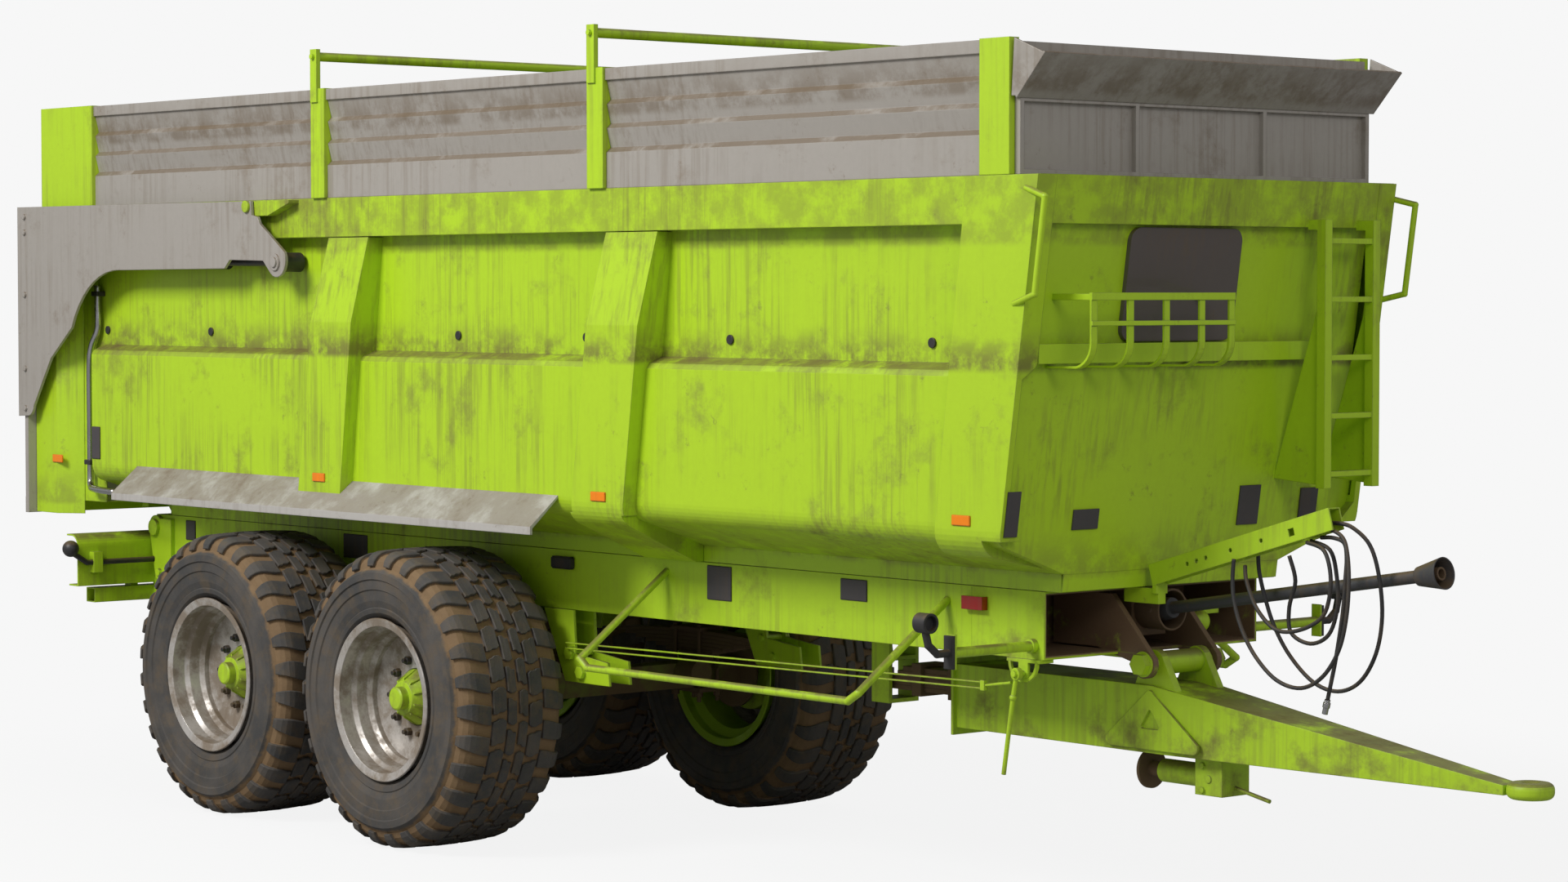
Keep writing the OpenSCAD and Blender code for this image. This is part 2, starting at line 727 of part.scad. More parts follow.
// Deep-dished rim, outer side towards -Y, with its disc and bolt holes
module rim_shape() {
    r = rim_d / 2;
    h = half_tyre - 25;
    t = 9;
    outline = [[r, h], [r - 29, h - 4], [r - 29, h - 62], [r - 46, h - 80], [r - 52, h - 130], [r - 72,
            h - 150],
               [r - 72, -h + 70], [r - 29, -h + 50], [r - 29, -h + 4], [r, -h], [r - 4, -h - 6], [r - 38,
                       -h + 2],
               [r - 38, -h + 46], [r - 81, -h + 68], [r - 81, h - 198], [190, h - 212], [128, h - 212],
               [128, h - 196], [192, h - 196], [r - 81, h - 176], [r - 81, h - 152], [r - 61, h - 134],
               [r - 55, h - 84], [r - 38, h - 66], [r - 38, h - 2], [r - 4, h + 6]];
    difference() {
        rotate([90, 0, 0])
        rotate_extrude($fn = 96)
        polygon(outline);
        for (a = [0:36:359])
            rotate([0, a, 0])
            rod_y(bolt_circle_r, 0, 12, -h + 180, -h + 230);
    }
}

// Hub with its brake drum, ribs, cap, studs and nuts, outer side towards -Y
module hub_shape() {
    h = half_tyre - 25;
    face = -(h - 212);
    profile = [[spindle_r + run_gap, -face - 180], [70, -face - 180], [120, -face - 166],
               [196, -face - 166], [205, -face - 20], [188, -face], [124, -face], [124, -face + 20],
               [118, -face + 26], [74, -face + 92], [52, -face + 94], [52, -face + 128], [44, -face + 134],
               [0, -face + 134], [0, -face + 100], [spindle_r + run_gap, -face + 100]];
    rotate([90, 0, 0])
    rotate_extrude($fn = 72)
    polygon(profile);
    for (a = [0:36:359])
        rotate([0, a, 0]) {
            rod_y(bolt_circle_r, 0, 10, face - 52, face + 20);
            translate([bolt_circle_r, face - 16, 0])
            rotate([90, 0, 0])
            cylinder(r = 17, h = 20, $fn = 6);
        }
    for (a = [18:36:359])
        rotate([0, a, 0])
        translate([0, 0, -4])
        linear_extrude(height = 8)
        polygon([[60, face - 30], [123, face - 23], [88, face - 86], [60, face - 86]]);
}

// Moves a wheel piece, modelled with its outer side towards -Y, to its corner
module at_wheel(x, side) {
    translate([x, side * track / 2, wheel_z])
    rotate([0, 0, side > 0 ? 180 : 0])
    children();
}

module tyre(x, side) {
    color(dark)
        at_wheel(x, side)
        tyre_shape();
}

module rim(x, side) {
    color(silver)
        at_wheel(x, side)
        rim_shape();
}

module hub(x, side) {
    color(green)
        at_wheel(x, side)
        hub_shape();
}

// ---- drawbar ----

// Tapering box of the drawbar, grown or shrunk all round by an offset
module drawbar_box(inset, back) {
    x1 = x_eye_tip - 170;
    w = drawbar_w / 2 - inset;
    intersection() {
        side_plate([[x_drawbar_back - back, drawbar_z + inset], [x1 - inset * 4, drawbar_z - 6 + inset],
                    [x1 - inset * 4, drawbar_z + 30 - inset], [x_pivot, drawbar_top - inset],
                    [x_drawbar_back - back, drawbar_top - inset]], -w, w);
        translate([0, 0, drawbar_z - 50])
        linear_extrude(height = 500)
        polygon([[x_drawbar_back - back, -w], [x_pivot + 60, -w], [x1 - inset * 4, -46 + inset],
                 [x1 - inset * 4, 46 - inset], [x_pivot + 60, w], [x_drawbar_back - back, w]]);
    }
}

// Triangular doubler plate with rounded corners and a small window, on the right side
module doubler() {
    y = drawbar_w / 2;
    tri = concat(arc(x_pivot, drawbar_top - 44, 26, 30, 150, 6), arc(x_pivot - 208, drawbar_z + 38, 26,
            150, 270, 6),
                 arc(x_pivot + 230, drawbar_z + 38, 26, 270, 390, 6));
    window = concat(arc(x_pivot + 4, drawbar_z + 158, 8, 30, 150, 4), arc(x_pivot - 34, drawbar_z + 100, 8,
            150, 270, 4),
                    arc(x_pivot + 44, drawbar_z + 100, 8, 270, 390, 4));
    difference() {
        side_plate(tri, y - 1, y + 12);
        side_plate(window, y, y + 13);
    }
}

module drawbar() {
    lug = concat([[x_pivot - 100, drawbar_top - 4]], arc(x_pivot, z_pivot, 54, 160, 20, 10),
                 [[x_pivot + 120, drawbar_top - 22], [x_pivot + 120, drawbar_top - 40], [x_pivot - 100,
                         drawbar_top - 30]]);
    color(green) {
        difference() {
            drawbar_box(0, 0);
            drawbar_box(12, 40);
        }
        both_sides()
            doubler();
        difference() {
            union() {
                both_sides()
                    side_plate(lug, drawbar_lug_y - drawbar_lug_t / 2, drawbar_lug_y + drawbar_lug_t / 2);
                rod_y(x_pivot, z_pivot, 46, -drawbar_lug_y, drawbar_lug_y);
            }
            rod_y(x_pivot, z_pivot, pivot_r + run_gap, -drawbar_lug_y - 30, drawbar_lug_y + 30);
        }
        difference() {
            span([x_drawbar_back - 14, -drawbar_w / 2 - 16, drawbar_z - 30],
                 [x_drawbar_back, drawbar_w / 2 + 16, drawbar_top + 92]);
            span([x_drawbar_back - 15, -64, drawbar_z + 92], [x_drawbar_back + 1, 64, drawbar_z + 232]);
        }
        // Housing of the parking stand
        difference() {
            span([x_stand - 70, -76, drawbar_z - 150], [x_stand + 70, 76, drawbar_z]);
            span([x_stand - 71, -52, drawbar_z - 151], [x_stand + 58, 52, drawbar_z - 14]);
        }
        both_sides()
            for (dz = [36, 130])
                hex_head_y(x_stand - 30, drawbar_z - dz, 13, 76, 86);
        rod_y(x_stand, z_stand, stand_pin_r, -80, 80);
        // Crank that raises and lowers the stand
        bar([x_stand + 62, 0, drawbar_z - 118], [x_stand + 245, 0, drawbar_z - 153], 8);
    }
}

// Forged tow eye
module tow_eye() {
    profile = [[eye_hole_r, -22], [eye_hole_r + 10, -30], each arc(eye_r - 24, -6, 24, -90, 0, 5),
               each arc(eye_r - 24, 6, 24, 0, 90, 5), [eye_hole_r + 10, 30], [eye_hole_r, 22]];
    color(green)
        difference() {
            union() {
                translate([x_eye_tip - eye_r, 0, z_eye])
                rotate_extrude($fn = 72)
                polygon(profile);
                span([x_eye_tip - 250, -30, z_eye - 18], [x_eye_tip - eye_r - 36, 30, z_eye + 10]);
            }
            rod_z(x_eye_tip - eye_r, 0, eye_hole_r, z_eye - 40, z_eye + 40);
        }
}

// Leaf spring that damps the drawbar, with its clamps
module drawbar_spring() {
    z_mid = drawbar_z + 162;
    x0 = x_drawbar_back - 570;
    color(mud) {
        for (i = [0:4])
            span([x0 + i * 34, -48, z_mid - 50 + i * 20], [x_drawbar_back + 420, 48, z_mid - 31 + i * 20]);
        span([x_drawbar_back + 60, -60, z_mid + 50], [x_drawbar_back + 120, 60, drawbar_top - 13]);
        span([x_drawbar_back + 60, -60, drawbar_z + 13], [x_drawbar_back + 120, 60, z_mid - 50]);
        for (x = [x_drawbar_back - 330, x_drawbar_back - 110])
            difference() {
                span([x - 28, -68, z_mid - 68], [x + 28, 68, z_mid + 68]);
                span([x - 29, -49, z_mid - 51], [x + 29, 49, z_mid + 51]);
            }
    }
}

// Swinging barrel of the parking stand, stowed rearward under the drawbar
module stand_barrel() {
    x0 = x_stand - 300;
    color(green)
        difference() {
            union() {
                rod_x(0, z_stand, stand_r, x0, x_stand - 34);
                rod_y(x_stand, z_stand, 40, -50, 50);
                span([x_stand - 60, -30, z_stand - 30], [x_stand, 30, z_stand + 30]);
            }
            rod_x(0, z_stand, stand_rod_r + 1, x0 - 1, x_stand - 70);
            rod_y(x_stand, z_stand, stand_pin_r + run_gap, -51, 51);
        }
}

// Sliding rod and round foot of the parking stand
module stand_foot() {
    x0 = x_stand - 374;
    color(mud) {
        rod_x(0, z_stand, stand_rod_r, x0, x_stand - 80);
        rod_x(0, z_stand, 78, x0 - 6, x0 + 8);
    }
}

// ---- power shaft ----

module along_pto() {
    translate([x_pto, 0, z_pto])
    rotate([0, 90 - pto_tilt, 0])
    children();
}

// Outer guard tube with its cones
module pto_guard() {
    color(dark)
        along_pto()
        difference() {
            union() {
                translate([0, 0, 30])
                cylinder(r = pto_guard_r, h = pto_len - 150);
                translate([0, 0, 4])
                cylinder(r1 = 46, r2 = 40, h = 44);
                translate([0, 0, pto_len - 125])
                cylinder(r1 = 36, r2 = 60, h = 115);
            }
            translate([0, 0, 3])
            cylinder(r = pto_shaft_r + 2, h = pto_len);
            translate([0, 0, pto_len - 115])
            cylinder(r1 = 30, r2 = 56, h = 106);
            translate([0, 0, 3])
            cylinder(r = 32, h = 20);
        }
}

// Inner shaft with its yokes
module pto_shaft() {
    color(mud)
        along_pto() {
            translate([0, 0, -34])
            cylinder(r = pto_shaft_r, h = pto_len - 80);
            translate([0, 0, -44])
            cylinder(r = 34, h = 30);
            difference() {
                translate([0, 0, pto_len - 106])
                cylinder(r = 25, h = 84);
                translate([0, 0, pto_len - 92])
                cylinder(r = pto_bore_r, h = 100);
            }
        }
}

// ---- parking brake ----

brake_low = [x_brake - 20, brake_y, z_brake - 92];

// Lever with its hanging handle
module brake_lever() {
    color(green)
        difference() {
            union() {
                rod_y(x_brake, z_brake, 24, brake_y - 10, brake_y + 12);
                bar([x_brake, brake_y, z_brake], brake_low, 9);
                translate(brake_low)
                sphere(r = 14);
                bar(brake_low, [x_brake - 70, brake_y, z_brake - 392], 9);
            }
            rod_y(x_brake, z_brake, 12 + run_gap, brake_y - 11, brake_y + 13);
        }
}

// The two pull rods to the brakes, with the bar that links them to the lever
module brake_rods() {
    tip = [x_brake - 180, brake_y, z_brake - 58];
    back = [x_axle_f + 560, brake_y, z_brake - 98];
    color(green) {
        bar(tip + [0, 0, 12], back + [0, 0, 12], 4);
        bar(tip - [0, 0, 12], back - [0, 0, 12], 4);
        span([tip[0] - 14, brake_y - 9, tip[2] - 20], [tip[0] + 10, brake_y + 9, tip[2] + 20]);
        bar(tip, [x_brake - 30, brake_y, z_brake - 36], 6);
    }
}

// ---- tipping cylinder ----

module tip_barrel() {
    color(silver) {
        difference() {
            rod_z(x_tip_cyl, 0, barrel_r, barrel_bottom, barrel_top);
            rod_z(x_tip_cyl, 0, stage_r[0] + slide_gap, barrel_bottom + 14, barrel_top + 1);
        }
        both_sides()
            rod_y(x_tip_cyl, z_trunnion, trunnion_r, barrel_r - 4, cradle_y + cradle_t + 10);
    }
}

// One telescopic stage: k counts from the outermost
module tip_stage(k) {
    r = stage_r[k];
    z0 = barrel_bottom + 20 + k * 10;
    z1 = barrel_top + 12 + k * 12;
    last = k == 2;
    color(silver) {
        difference() {
            union() {
                rod_z(x_tip_cyl, 0, r, z0, z1);
                if (last)
                    rod_z(x_tip_cyl, 0, 26, z1 - 1, z_tip_eye - 20);
            }
            if (!last)
                rod_z(x_tip_cyl, 0, stage_r[k + 1] + slide_gap, z0 - 1 + 8, z1 + 1);
            if (last)
                rod_z(x_tip_cyl, 0, r - stage_wall, z0 + 10, z1 - 20);
        }
        if (last)
            difference() {
                rod_y(x_tip_cyl, z_tip_eye, 42, -30, 30);
                rod_y(x_tip_cyl, z_tip_eye, 22, -31, 31);
            }
    }
}

// ---- tub ----

// Outer cross-section of the tub, set in by t
function tub_section(t, top) =
    let (w = wall_y - t, l = lower_y - t, b = chassis_y + 3 - t * 0.6, f = floor_z + t)
    concat([[-b, f], [b, f]],
           arc(l - belly_r, belly_z, belly_r, -58, 0, 6),
           [[l, ledge_z - 22], [l - 14, ledge_z], [w, ledge_z + 26], [w, top]],
           [[-w, top], [-w, ledge_z + 26], [-l + 14, ledge_z], [-l, ledge_z - 22]],
           arc(-l + belly_r, belly_z, belly_r, 180, 238, 6));

// Outer cross-section of the tub behind its bulge, set in by t
function narrow_section(t, top) =
    let (w = wall_y - t, f = floor_z + t)
    [[-w, f], [w, f], [w, top], [-w, top]];

// Side view of the tub with a leaning front, set in by t
module tub_side_view(t, x0, top) {
    front = 42 + t;
    side_plate([[x0, chassis_top - 10], [front_x(chassis_top - 10) - front, chassis_top - 10],
                [front_x(top) - front, top], [x0, top]], -1200, 1200);
}

// Leaning upright between two offsets behind the front plane, clipped to a height span
module leaning(x_off0, x_off1, y0, y1, z0, z1) {
    side_plate([[front_x(z0) + x_off0, z0], [front_x(z0) + x_off1, z0],
                [front_x(z1) + x_off1, z1], [front_x(z1) + x_off0, z1]], y0, y1);
}

module tub() {
    rail_y = half_w;
    rail_in = wall_y - 20;
    color(green) {
        difference() {
            union() {
                intersection() {
                    run_x(tub_section(0, rail_top - 10), x_bulge, x_tub_front);
                    tub_side_view(0, x_bulge, rail_top + 50);
                }
                run_x(narrow_section(0, rail_top - 10), x_tub_back + 30, x_bulge + 1);
            }
            intersection() {
                run_x(tub_section(sheet_t, rail_top + 60), x_bulge + sheet_t, x_tub_front);
                tub_side_view(sheet_t, x_bulge + sheet_t, rail_top + 100);
            }
            run_x(narrow_section(sheet_t, rail_top + 60), x_tub_back, x_bulge + 2 * sheet_t);
        }
        // Apron below the front wall
        leaning(-49, -43, -chassis_y - 3, chassis_y + 3, chassis_top + 4, floor_z + 8);
        // Top rails, hollow
        both_sides()
            difference() {
                side_plate([[x_tub_back, rail_bottom], [front_x(rail_bottom), rail_bottom],
                            [x_tub_front, rail_top], [x_tub_back, rail_top]], rail_in, rail_y);
                side_plate([[x_tub_back - 1, rail_bottom + 6], [front_x(rail_bottom) - 120, rail_bottom + 6],
                            [x_tub_front - 120, rail_top - 6], [x_tub_back - 1, rail_top - 6]],
                           rail_in + 6, rail_y - 6);
            }
        difference() {
            leaning(-100, 0, -rail_in - 1, rail_in + 1, rail_bottom, rail_top);
            leaning(-94, -6, -rail_in + 10, rail_in - 10, rail_bottom + 6, rail_top - 6);
        }
        // Rear frame: sill and uprights
        difference() {
            span([x_tub_back, -half_w, gate_bottom + 4], [x_tub_back + 90, half_w, floor_z + sheet_t]);
            span([x_tub_back + 6, -half_w + 6, gate_bottom + 10],
                 [x_tub_back + 84, half_w - 6, floor_z]);
        }
        both_sides() {
            translate([0, 0, gate_bottom + 4])
            linear_extrude(height = rail_bottom - gate_bottom - 3)
            polygon([[x_tub_back, wall_y - 12], [x_tub_back + 40, wall_y - 12], [x_tub_back + 60, wall_y],
                     [x_tub_back + 330, wall_y + 2], [x_tub_back + 210, corner_y], [x_tub_back, corner_y]]);
        }
        // Long beams that rest on the chassis
        both_sides()
            difference() {
                span([x_hinge + 120, chassis_y - 100, chassis_top + seat_gap],
                     [front_x(floor_z) - 60, chassis_y, floor_z + 1]);
                span([x_hinge + 119, chassis_y - 94, chassis_top + seat_gap + 6],
                     [front_x(floor_z) - 59, chassis_y - 6, floor_z - 5]);
            }
        // Ears of the tipping hinge
        both_sides()
            difference() {
                side_plate(concat(arc(x_hinge, z_hinge, 58, 180, 360, 12),
                                  [[x_hinge + 58, chassis_top + 10], [x_hinge + 180, chassis_top + 12],
                                   [x_hinge + 180, floor_z + 1], [x_hinge - 120, floor_z + 1],
                                   [x_hinge - 58, chassis_top + 10]]),
                           chassis_y - 140, chassis_y - 104);
                rod_y(x_hinge, z_hinge, hinge_pin_r + run_gap, chassis_y - 150, chassis_y - 90);
            }
        for (x = [x_hinge - 320, x_hinge + 90])
            span([x, -chassis_y + 90, floor_z - 50], [x + 60, chassis_y - 90, floor_z + 1]);
        // Lugs above the tipping cylinder
        both_sides() {
            span([x_tip_cyl - 46, 34, z_tip_eye - 42], [x_tip_cyl + 46, 54, floor_z + 1]);
            rod_y(x_tip_cyl, z_tip_eye, 28, 53, 64);
        }
        // Brackets of the tailgate hinge and its cylinders
        both_sides() {
            side_plate([[x_gate_pin - 60, rail_top - 6], [x_gate_pin + 330, rail_top - 6],
                        [x_gate_pin + 330, rail_top - 20], [x_gate_pin + 150, rail_bottom + 104],
                        [x_gate_pin - 60, rail_bottom + 104]], half_w - 1, gate_pin_y - side_gap);
            rod_y(x_gate_pin, z_gate_pin, gate_pin_r, half_w, gate_pin_y + arm_t + 12);
            rod_y(x_gate_anchor, z_gate_anchor, 18, wall_y - 1, gate_cyl_y + 62);
            rod_y(x_gate_anchor, z_gate_anchor, 34, wall_y - 1, gate_cyl_y - 30);
        }
    }
}

// Slanted rib outline from its foot (x0 to x1) to its head (x3 to x2), set in by e
module rib_side(x0, x1, x2, x3, z0, e) {
    side_plate([[x0 + e, z0 + e], [x1 - e, z0 + e], [x2 - e, rail_bottom - e], [x3 + e, rail_bottom - e]],
            0, 1200);
}

// Cross-section run along X, cut to the first child and hollowed by the second
module hollow_rib(points, x0, x1) {
    difference() {
        intersection() {
            run_x(points, x0, x1);
            children(0);
        }
        translate([0, -plate_t, 0])
        intersection() {
            run_x(points, x0 - 1, x1 + 1);
            children(1);
        }
    }
}

// Side ribs and front corner posts
module tub_ribs() {
    rib_y = 1050;
    bend_z = 2330;
    under_z = belly_z - 60;
    section = [[wall_y - 2, rail_bottom - 4], [wall_y - 2, ledge_z + 20], [lower_y - 2, ledge_z - 30],
               [lower_y - 2, under_z], [rib_y, under_z], [rib_y, bend_z], [half_w, rail_bottom - 4]];
    curl = concat([[wall_y - 2, rail_bottom - 4], [wall_y - 2, ledge_z + 20], [lower_y - 2, ledge_z - 30]],
                  [[lower_y - 2, belly_z + 40]], [[lower_y - 90, belly_z - 70], [chassis_y + 2, floor_z + 6]],
                  [[chassis_y + 2, chassis_top + seat_gap], [chassis_y + 40, chassis_top + seat_gap]],
                  arc(rib_y - 110, belly_z - 12, 110, -62, 0, 6), [[rib_y, bend_z], [half_w,
                          rail_bottom - 4]]);
    post = concat([[wall_y - 3, rail_top - 1], [wall_y - 3, ledge_z + 20], [lower_y - 14, ledge_z - 30]],
                  [[lower_y - 14, belly_z + 20], [lower_y - 100, belly_z - 64], [chassis_y + 60,
                          floor_z + 22]],
                  arc(corner_y - 110, belly_z - 20, 110, -70, 0, 6), [[corner_y, rail_top - 1]]);
    x_post = front_x(post_z);
    color(green)
        both_sides() {
            hollow_rib(section, x_axle_f - 1200, x_axle_f + 200) {
                rib_side(x_axle_f - 958, x_axle_f - 612, x_axle_f - 467, x_axle_f - 790, under_z, 0);
                rib_side(x_axle_f - 958, x_axle_f - 612, x_axle_f - 467, x_axle_f - 790, under_z, plate_t);
            }
            hollow_rib(curl, x_axle_f + 900, x_axle_f + 2200) {
                union() {
                    rib_side(x_axle_f + 1126, x_axle_f + 1477, x_axle_f + 1634, x_axle_f + 1290, under_z, 0);
                    span([x_axle_f + 1110, 0, chassis_top], [x_axle_f + 1460, 1200, under_z + 1]);
                }
                rib_side(x_axle_f + 1126, x_axle_f + 1477, x_axle_f + 1634, x_axle_f + 1290, under_z,
                        plate_t);
            }
            hollow_rib(post, x_tub_front - 900, x_tub_front + 10) {
                side_plate([[x_post - 104, chassis_top + 96], [x_post - 104, post_z], [x_post, post_z],
                            [x_tub_front + 2, rail_top - 1], [x_tub_front - 380, rail_top - 1],
                            [front_x(belly_z) - 360, belly_z], [x_post - 360, belly_z - 100],
                            [x_post - 360, chassis_top + 96]], 0, 1200);
                rib_side(x_post - 340, x_post - 2, x_tub_front - 20, x_tub_front - 360, belly_z + 40,
                        plate_t);
            }
        }
}

// Upright ladder on the front wall with its side plates
module ladder() {
    x = x_tub_front + 42;
    z0 = rail_top - 1200;
    z1 = rail_top - 150;
    ys = [525, 810];
    color(green) {
        for (y = ys) {
            span([x - 22, y - 20, z0], [x + 22, y + 20, z1]);
            span([front_x(z1) - 6, y - 20, z1 - 40], [x, y + 20, z1]);
            side_plate([[front_x(z0 + 20) - 46, z0 + 30], [x, z0 + 10], [x, z1 - 250]], y - 4, y + 4);
        }
        for (i = [0:4])
            span([x - 16, ys[0], z0 + 44 + i * 228], [x + 16, ys[1], z0 + 66 + i * 228]);
    }
}

// Bent round bars beside the front corners
module grab_handles() {
    color(green)
        both_sides()
            bent_tube([[front_x(2850) - 60, corner_y - 6, 2850], [front_x(2810) + 84, corner_y + 34, 2815],
                       [front_x(2450) + 84, corner_y + 34, 2460], [front_x(2425) - 60, corner_y - 6,
                               2425]], 12);
}

// Open basket of flat bars below the window, and the brace bar behind it
module basket_rack() {
    x0 = front_x(2240) - 44;
    x1 = x_tub_front + 92;
    y0 = -820;
    y1 = -50;
    z1 = 2440;
    hoop = concat([[x1 + 6, z1]], arc(x1 - 90, z1 - 160, 96, 0, -80, 6), [[x0, z1 - 256]],
                  [[x0, z1 - 246]], arc(x1 - 90, z1 - 160, 86, -80, 0, 6), [[x1 - 4, z1]]);
    color(green) {
        span([x0 - 2, -wall_y + 6, 2202], [x0 + 44, 600, 2276]);
        for (y = [y0, y0 + 192, y0 + 384, y0 + 576, y1 - 30])
            side_plate(hoop, y, y + 30);
        span([x1 - 6, y0, z1 - 2], [x1 + 10, y1, z1 + 26]);
        span([x1 + 2, y0, z1 - 96], [x1 + 12, y1, z1 - 78]);
        span([front_x(z1) - 44, y0, z1 - 2], [x1 + 8, y0 + 24, z1 + 22]);
        span([front_x(z1) - 20, y1 - 24, z1 - 2], [x1 + 8, y1, z1 + 22]);
    }
}

// Rubber-framed window in the front wall
module window() {
    color(dark)
        intersection() {
            leaning(-43, -22, -455, 160, 2280, 2712);
            translate([2400, 0, 0])
            rotate([90, 0, 90])
            linear_extrude(height = 900)
            translate([-402, 2333])
            offset(r = 52)
            square([509, 326]);
        }
}

// Grey mudguards along the tub's lower edge
module fenders() {
    x0 = x_axle_f - 2508;
    x1 = x_axle_f + 955;
    shelf = [[lower_y - 2, 1604], [lower_y - 2, 1592], [1122, 1466], [1122, 1440], [1134, 1440], [1134,
            1474]];
    color(grey)
        both_sides()
            run_x(shelf, x0, x1);
}

// Ribbed sheet panel between two posts, on the left side
module extension_panel(x0, x1) {
    y = half_w - 4;
    z0 = rail_top;
    h = extension_h;
    sheet = [[y - 8, z0], [y, z0], [y, z0 + h * 0.30], [y - 22, z0 + h * 0.34], [y - 2, z0 + h * 0.50],
             [y - 22, z0 + h * 0.54], [y - 2, z0 + h * 0.70], [y - 22, z0 + h * 0.74], [y - 2, z0 + h * 0.90],
             [y + 8, z0 + h * 0.90], [y + 8, z0 + h], [y - 24, z0 + h], [y - 24, z0 + h * 0.94],
             [y - 10, z0 + h * 0.90], [y - 30, z0 + h * 0.745], [y - 12, z0 + h * 0.70],
             [y - 30, z0 + h * 0.545], [y - 12, z0 + h * 0.50], [y - 30, z0 + h * 0.34], [y - 8,
                     z0 + h * 0.29]];
    run_x(sheet, x0, x1);
}

post_xs = [x_axle_f - 913, x_axle_f + 1178];
post_w = 112;
x_post_front = x_tub_front - 312;
x_post_back = x_tub_back + 584;
x_ext_front = x_tub_front - 120;
x_ext_back = x_tub_back + 74;

module extension() {
    y = half_w - 12;
    color(grey) {
        both_sides() {
            extension_panel(x_post_back, post_xs[0]);
            extension_panel(post_xs[0] + post_w, post_xs[1]);
            extension_panel(post_xs[1] + post_w, x_post_front);
        }
        // Front panel with its dividers
        span([x_ext_front - 30, -y, rail_top], [x_ext_front - 24, y, ext_top - 10]);
        for (yy = [-y, -366, 346, y - 20])
            span([x_ext_front - 25, yy, rail_top], [x_ext_front, yy + 20, ext_top - 222]);
        for (z = [rail_top, ext_top - 232])
            span([x_ext_front - 25, -y, z], [x_ext_front, y, z + 20]);
        // Deflector that flares forward, with end gussets
        side_plate([[x_ext_front - 4, ext_top - 216], [x_ext_front + 4, ext_top - 220], [x_ext_front + 150,
                ext_top - 62],
                    [x_ext_front + 144, ext_top - 56]], -corner_y + 4, corner_y - 4);
        both_sides()
            side_plate([[x_ext_front - 24, ext_top - 212], [x_ext_front, ext_top - 214],
                    [x_ext_front + 144, ext_top - 60],
                        [x_ext_front - 10, ext_top]], corner_y - 10, corner_y - 4);
        // Rear board
        span([x_ext_back + 1, -y + 24, rail_top], [x_ext_back + 7, y - 24, ext_top - 20]);
        span([x_ext_back, -y + 24, ext_top - 50], [x_ext_back + 36, y - 24, ext_top]);
    }
}

module extension_posts() {
    y0 = half_w - 34;
    color(green)
        both_sides() {
            for (x = post_xs) {
                span([x + 1, y0, rail_top], [x + post_w - 1, corner_y, ext_top + 4]);
                span([x + 10, corner_y - 14, ext_top - 60], [x + 62, corner_y + 8, bow_top]);
            }
            span([x_post_front + 1, y0, rail_top], [x_ext_front - 31, corner_y, ext_top + 4]);
            span([x_ext_back, y0, rail_top], [x_post_back - 1, corner_y, ext_top + 4]);
        }
}

// Cross tubes that hold up the cover
module cover_bows() {
    color(green)
        for (x = post_xs) {
            rod_y(x + 36, bow_top - 34, 21, -corner_y + 14.5, corner_y - 14.5);
            both_sides()
                rod_y(x + 36, bow_top - 34, 12, corner_y + 8, corner_y + 22);
        }
}

// ---- tailgate ----

module gate() {
    y = gate_pin_y;
    x1 = x_tub_back - side_gap;
    x0 = x_rear + 72;
    hatch_w = 300;
    color(grey) {
        difference() {
            span([x1 - 8, -y, gate_bottom], [x1, y, rail_top - 12]);
            span([x1 - 9, -hatch_w / 2, gate_bottom + 80], [x1 + 1, hatch_w / 2, gate_bottom + 400]);
        }
        // Frame and stiffeners behind the sheet
        for (z = [gate_bottom, gate_bottom + 520, gate_bottom + 1040, rail_top - 92])
            span([x0, -y, z], [x1 - 7, y, z + 80]);
        for (yy = [-y, -y / 3 - 35, y / 3 - 35, y - 70])
            span([x0 + 2, yy, gate_bottom + 10], [x1 - 7, yy + 70, rail_top - 20]);
        // Hatch frame, slide and handle
        span([x1 - 40, -hatch_w / 2 - 30, gate_bottom + 79], [x1 - 7, -hatch_w / 2, gate_bottom + 521]);
        span([x1 - 40, hatch_w / 2, gate_bottom + 79], [x1 - 7, hatch_w / 2 + 30, gate_bottom + 521]);
        span([x1 - 24, -hatch_w / 2 + 2, gate_bottom + 81], [x1 - 16, hatch_w / 2 - 2, gate_bottom + 430]);
        span([x1 - 62, -60, gate_bottom + 380], [x1 - 23, 60, gate_bottom + 410]);
        // Spout below the hatch
        side_plate([[x_rear, gate_bottom + 30], [x_rear + 8, gate_bottom + 26], [x1 - 8, gate_bottom + 72],
                    [x1 - 8, gate_bottom + 82]], -hatch_w / 2, hatch_w / 2);
    }
}

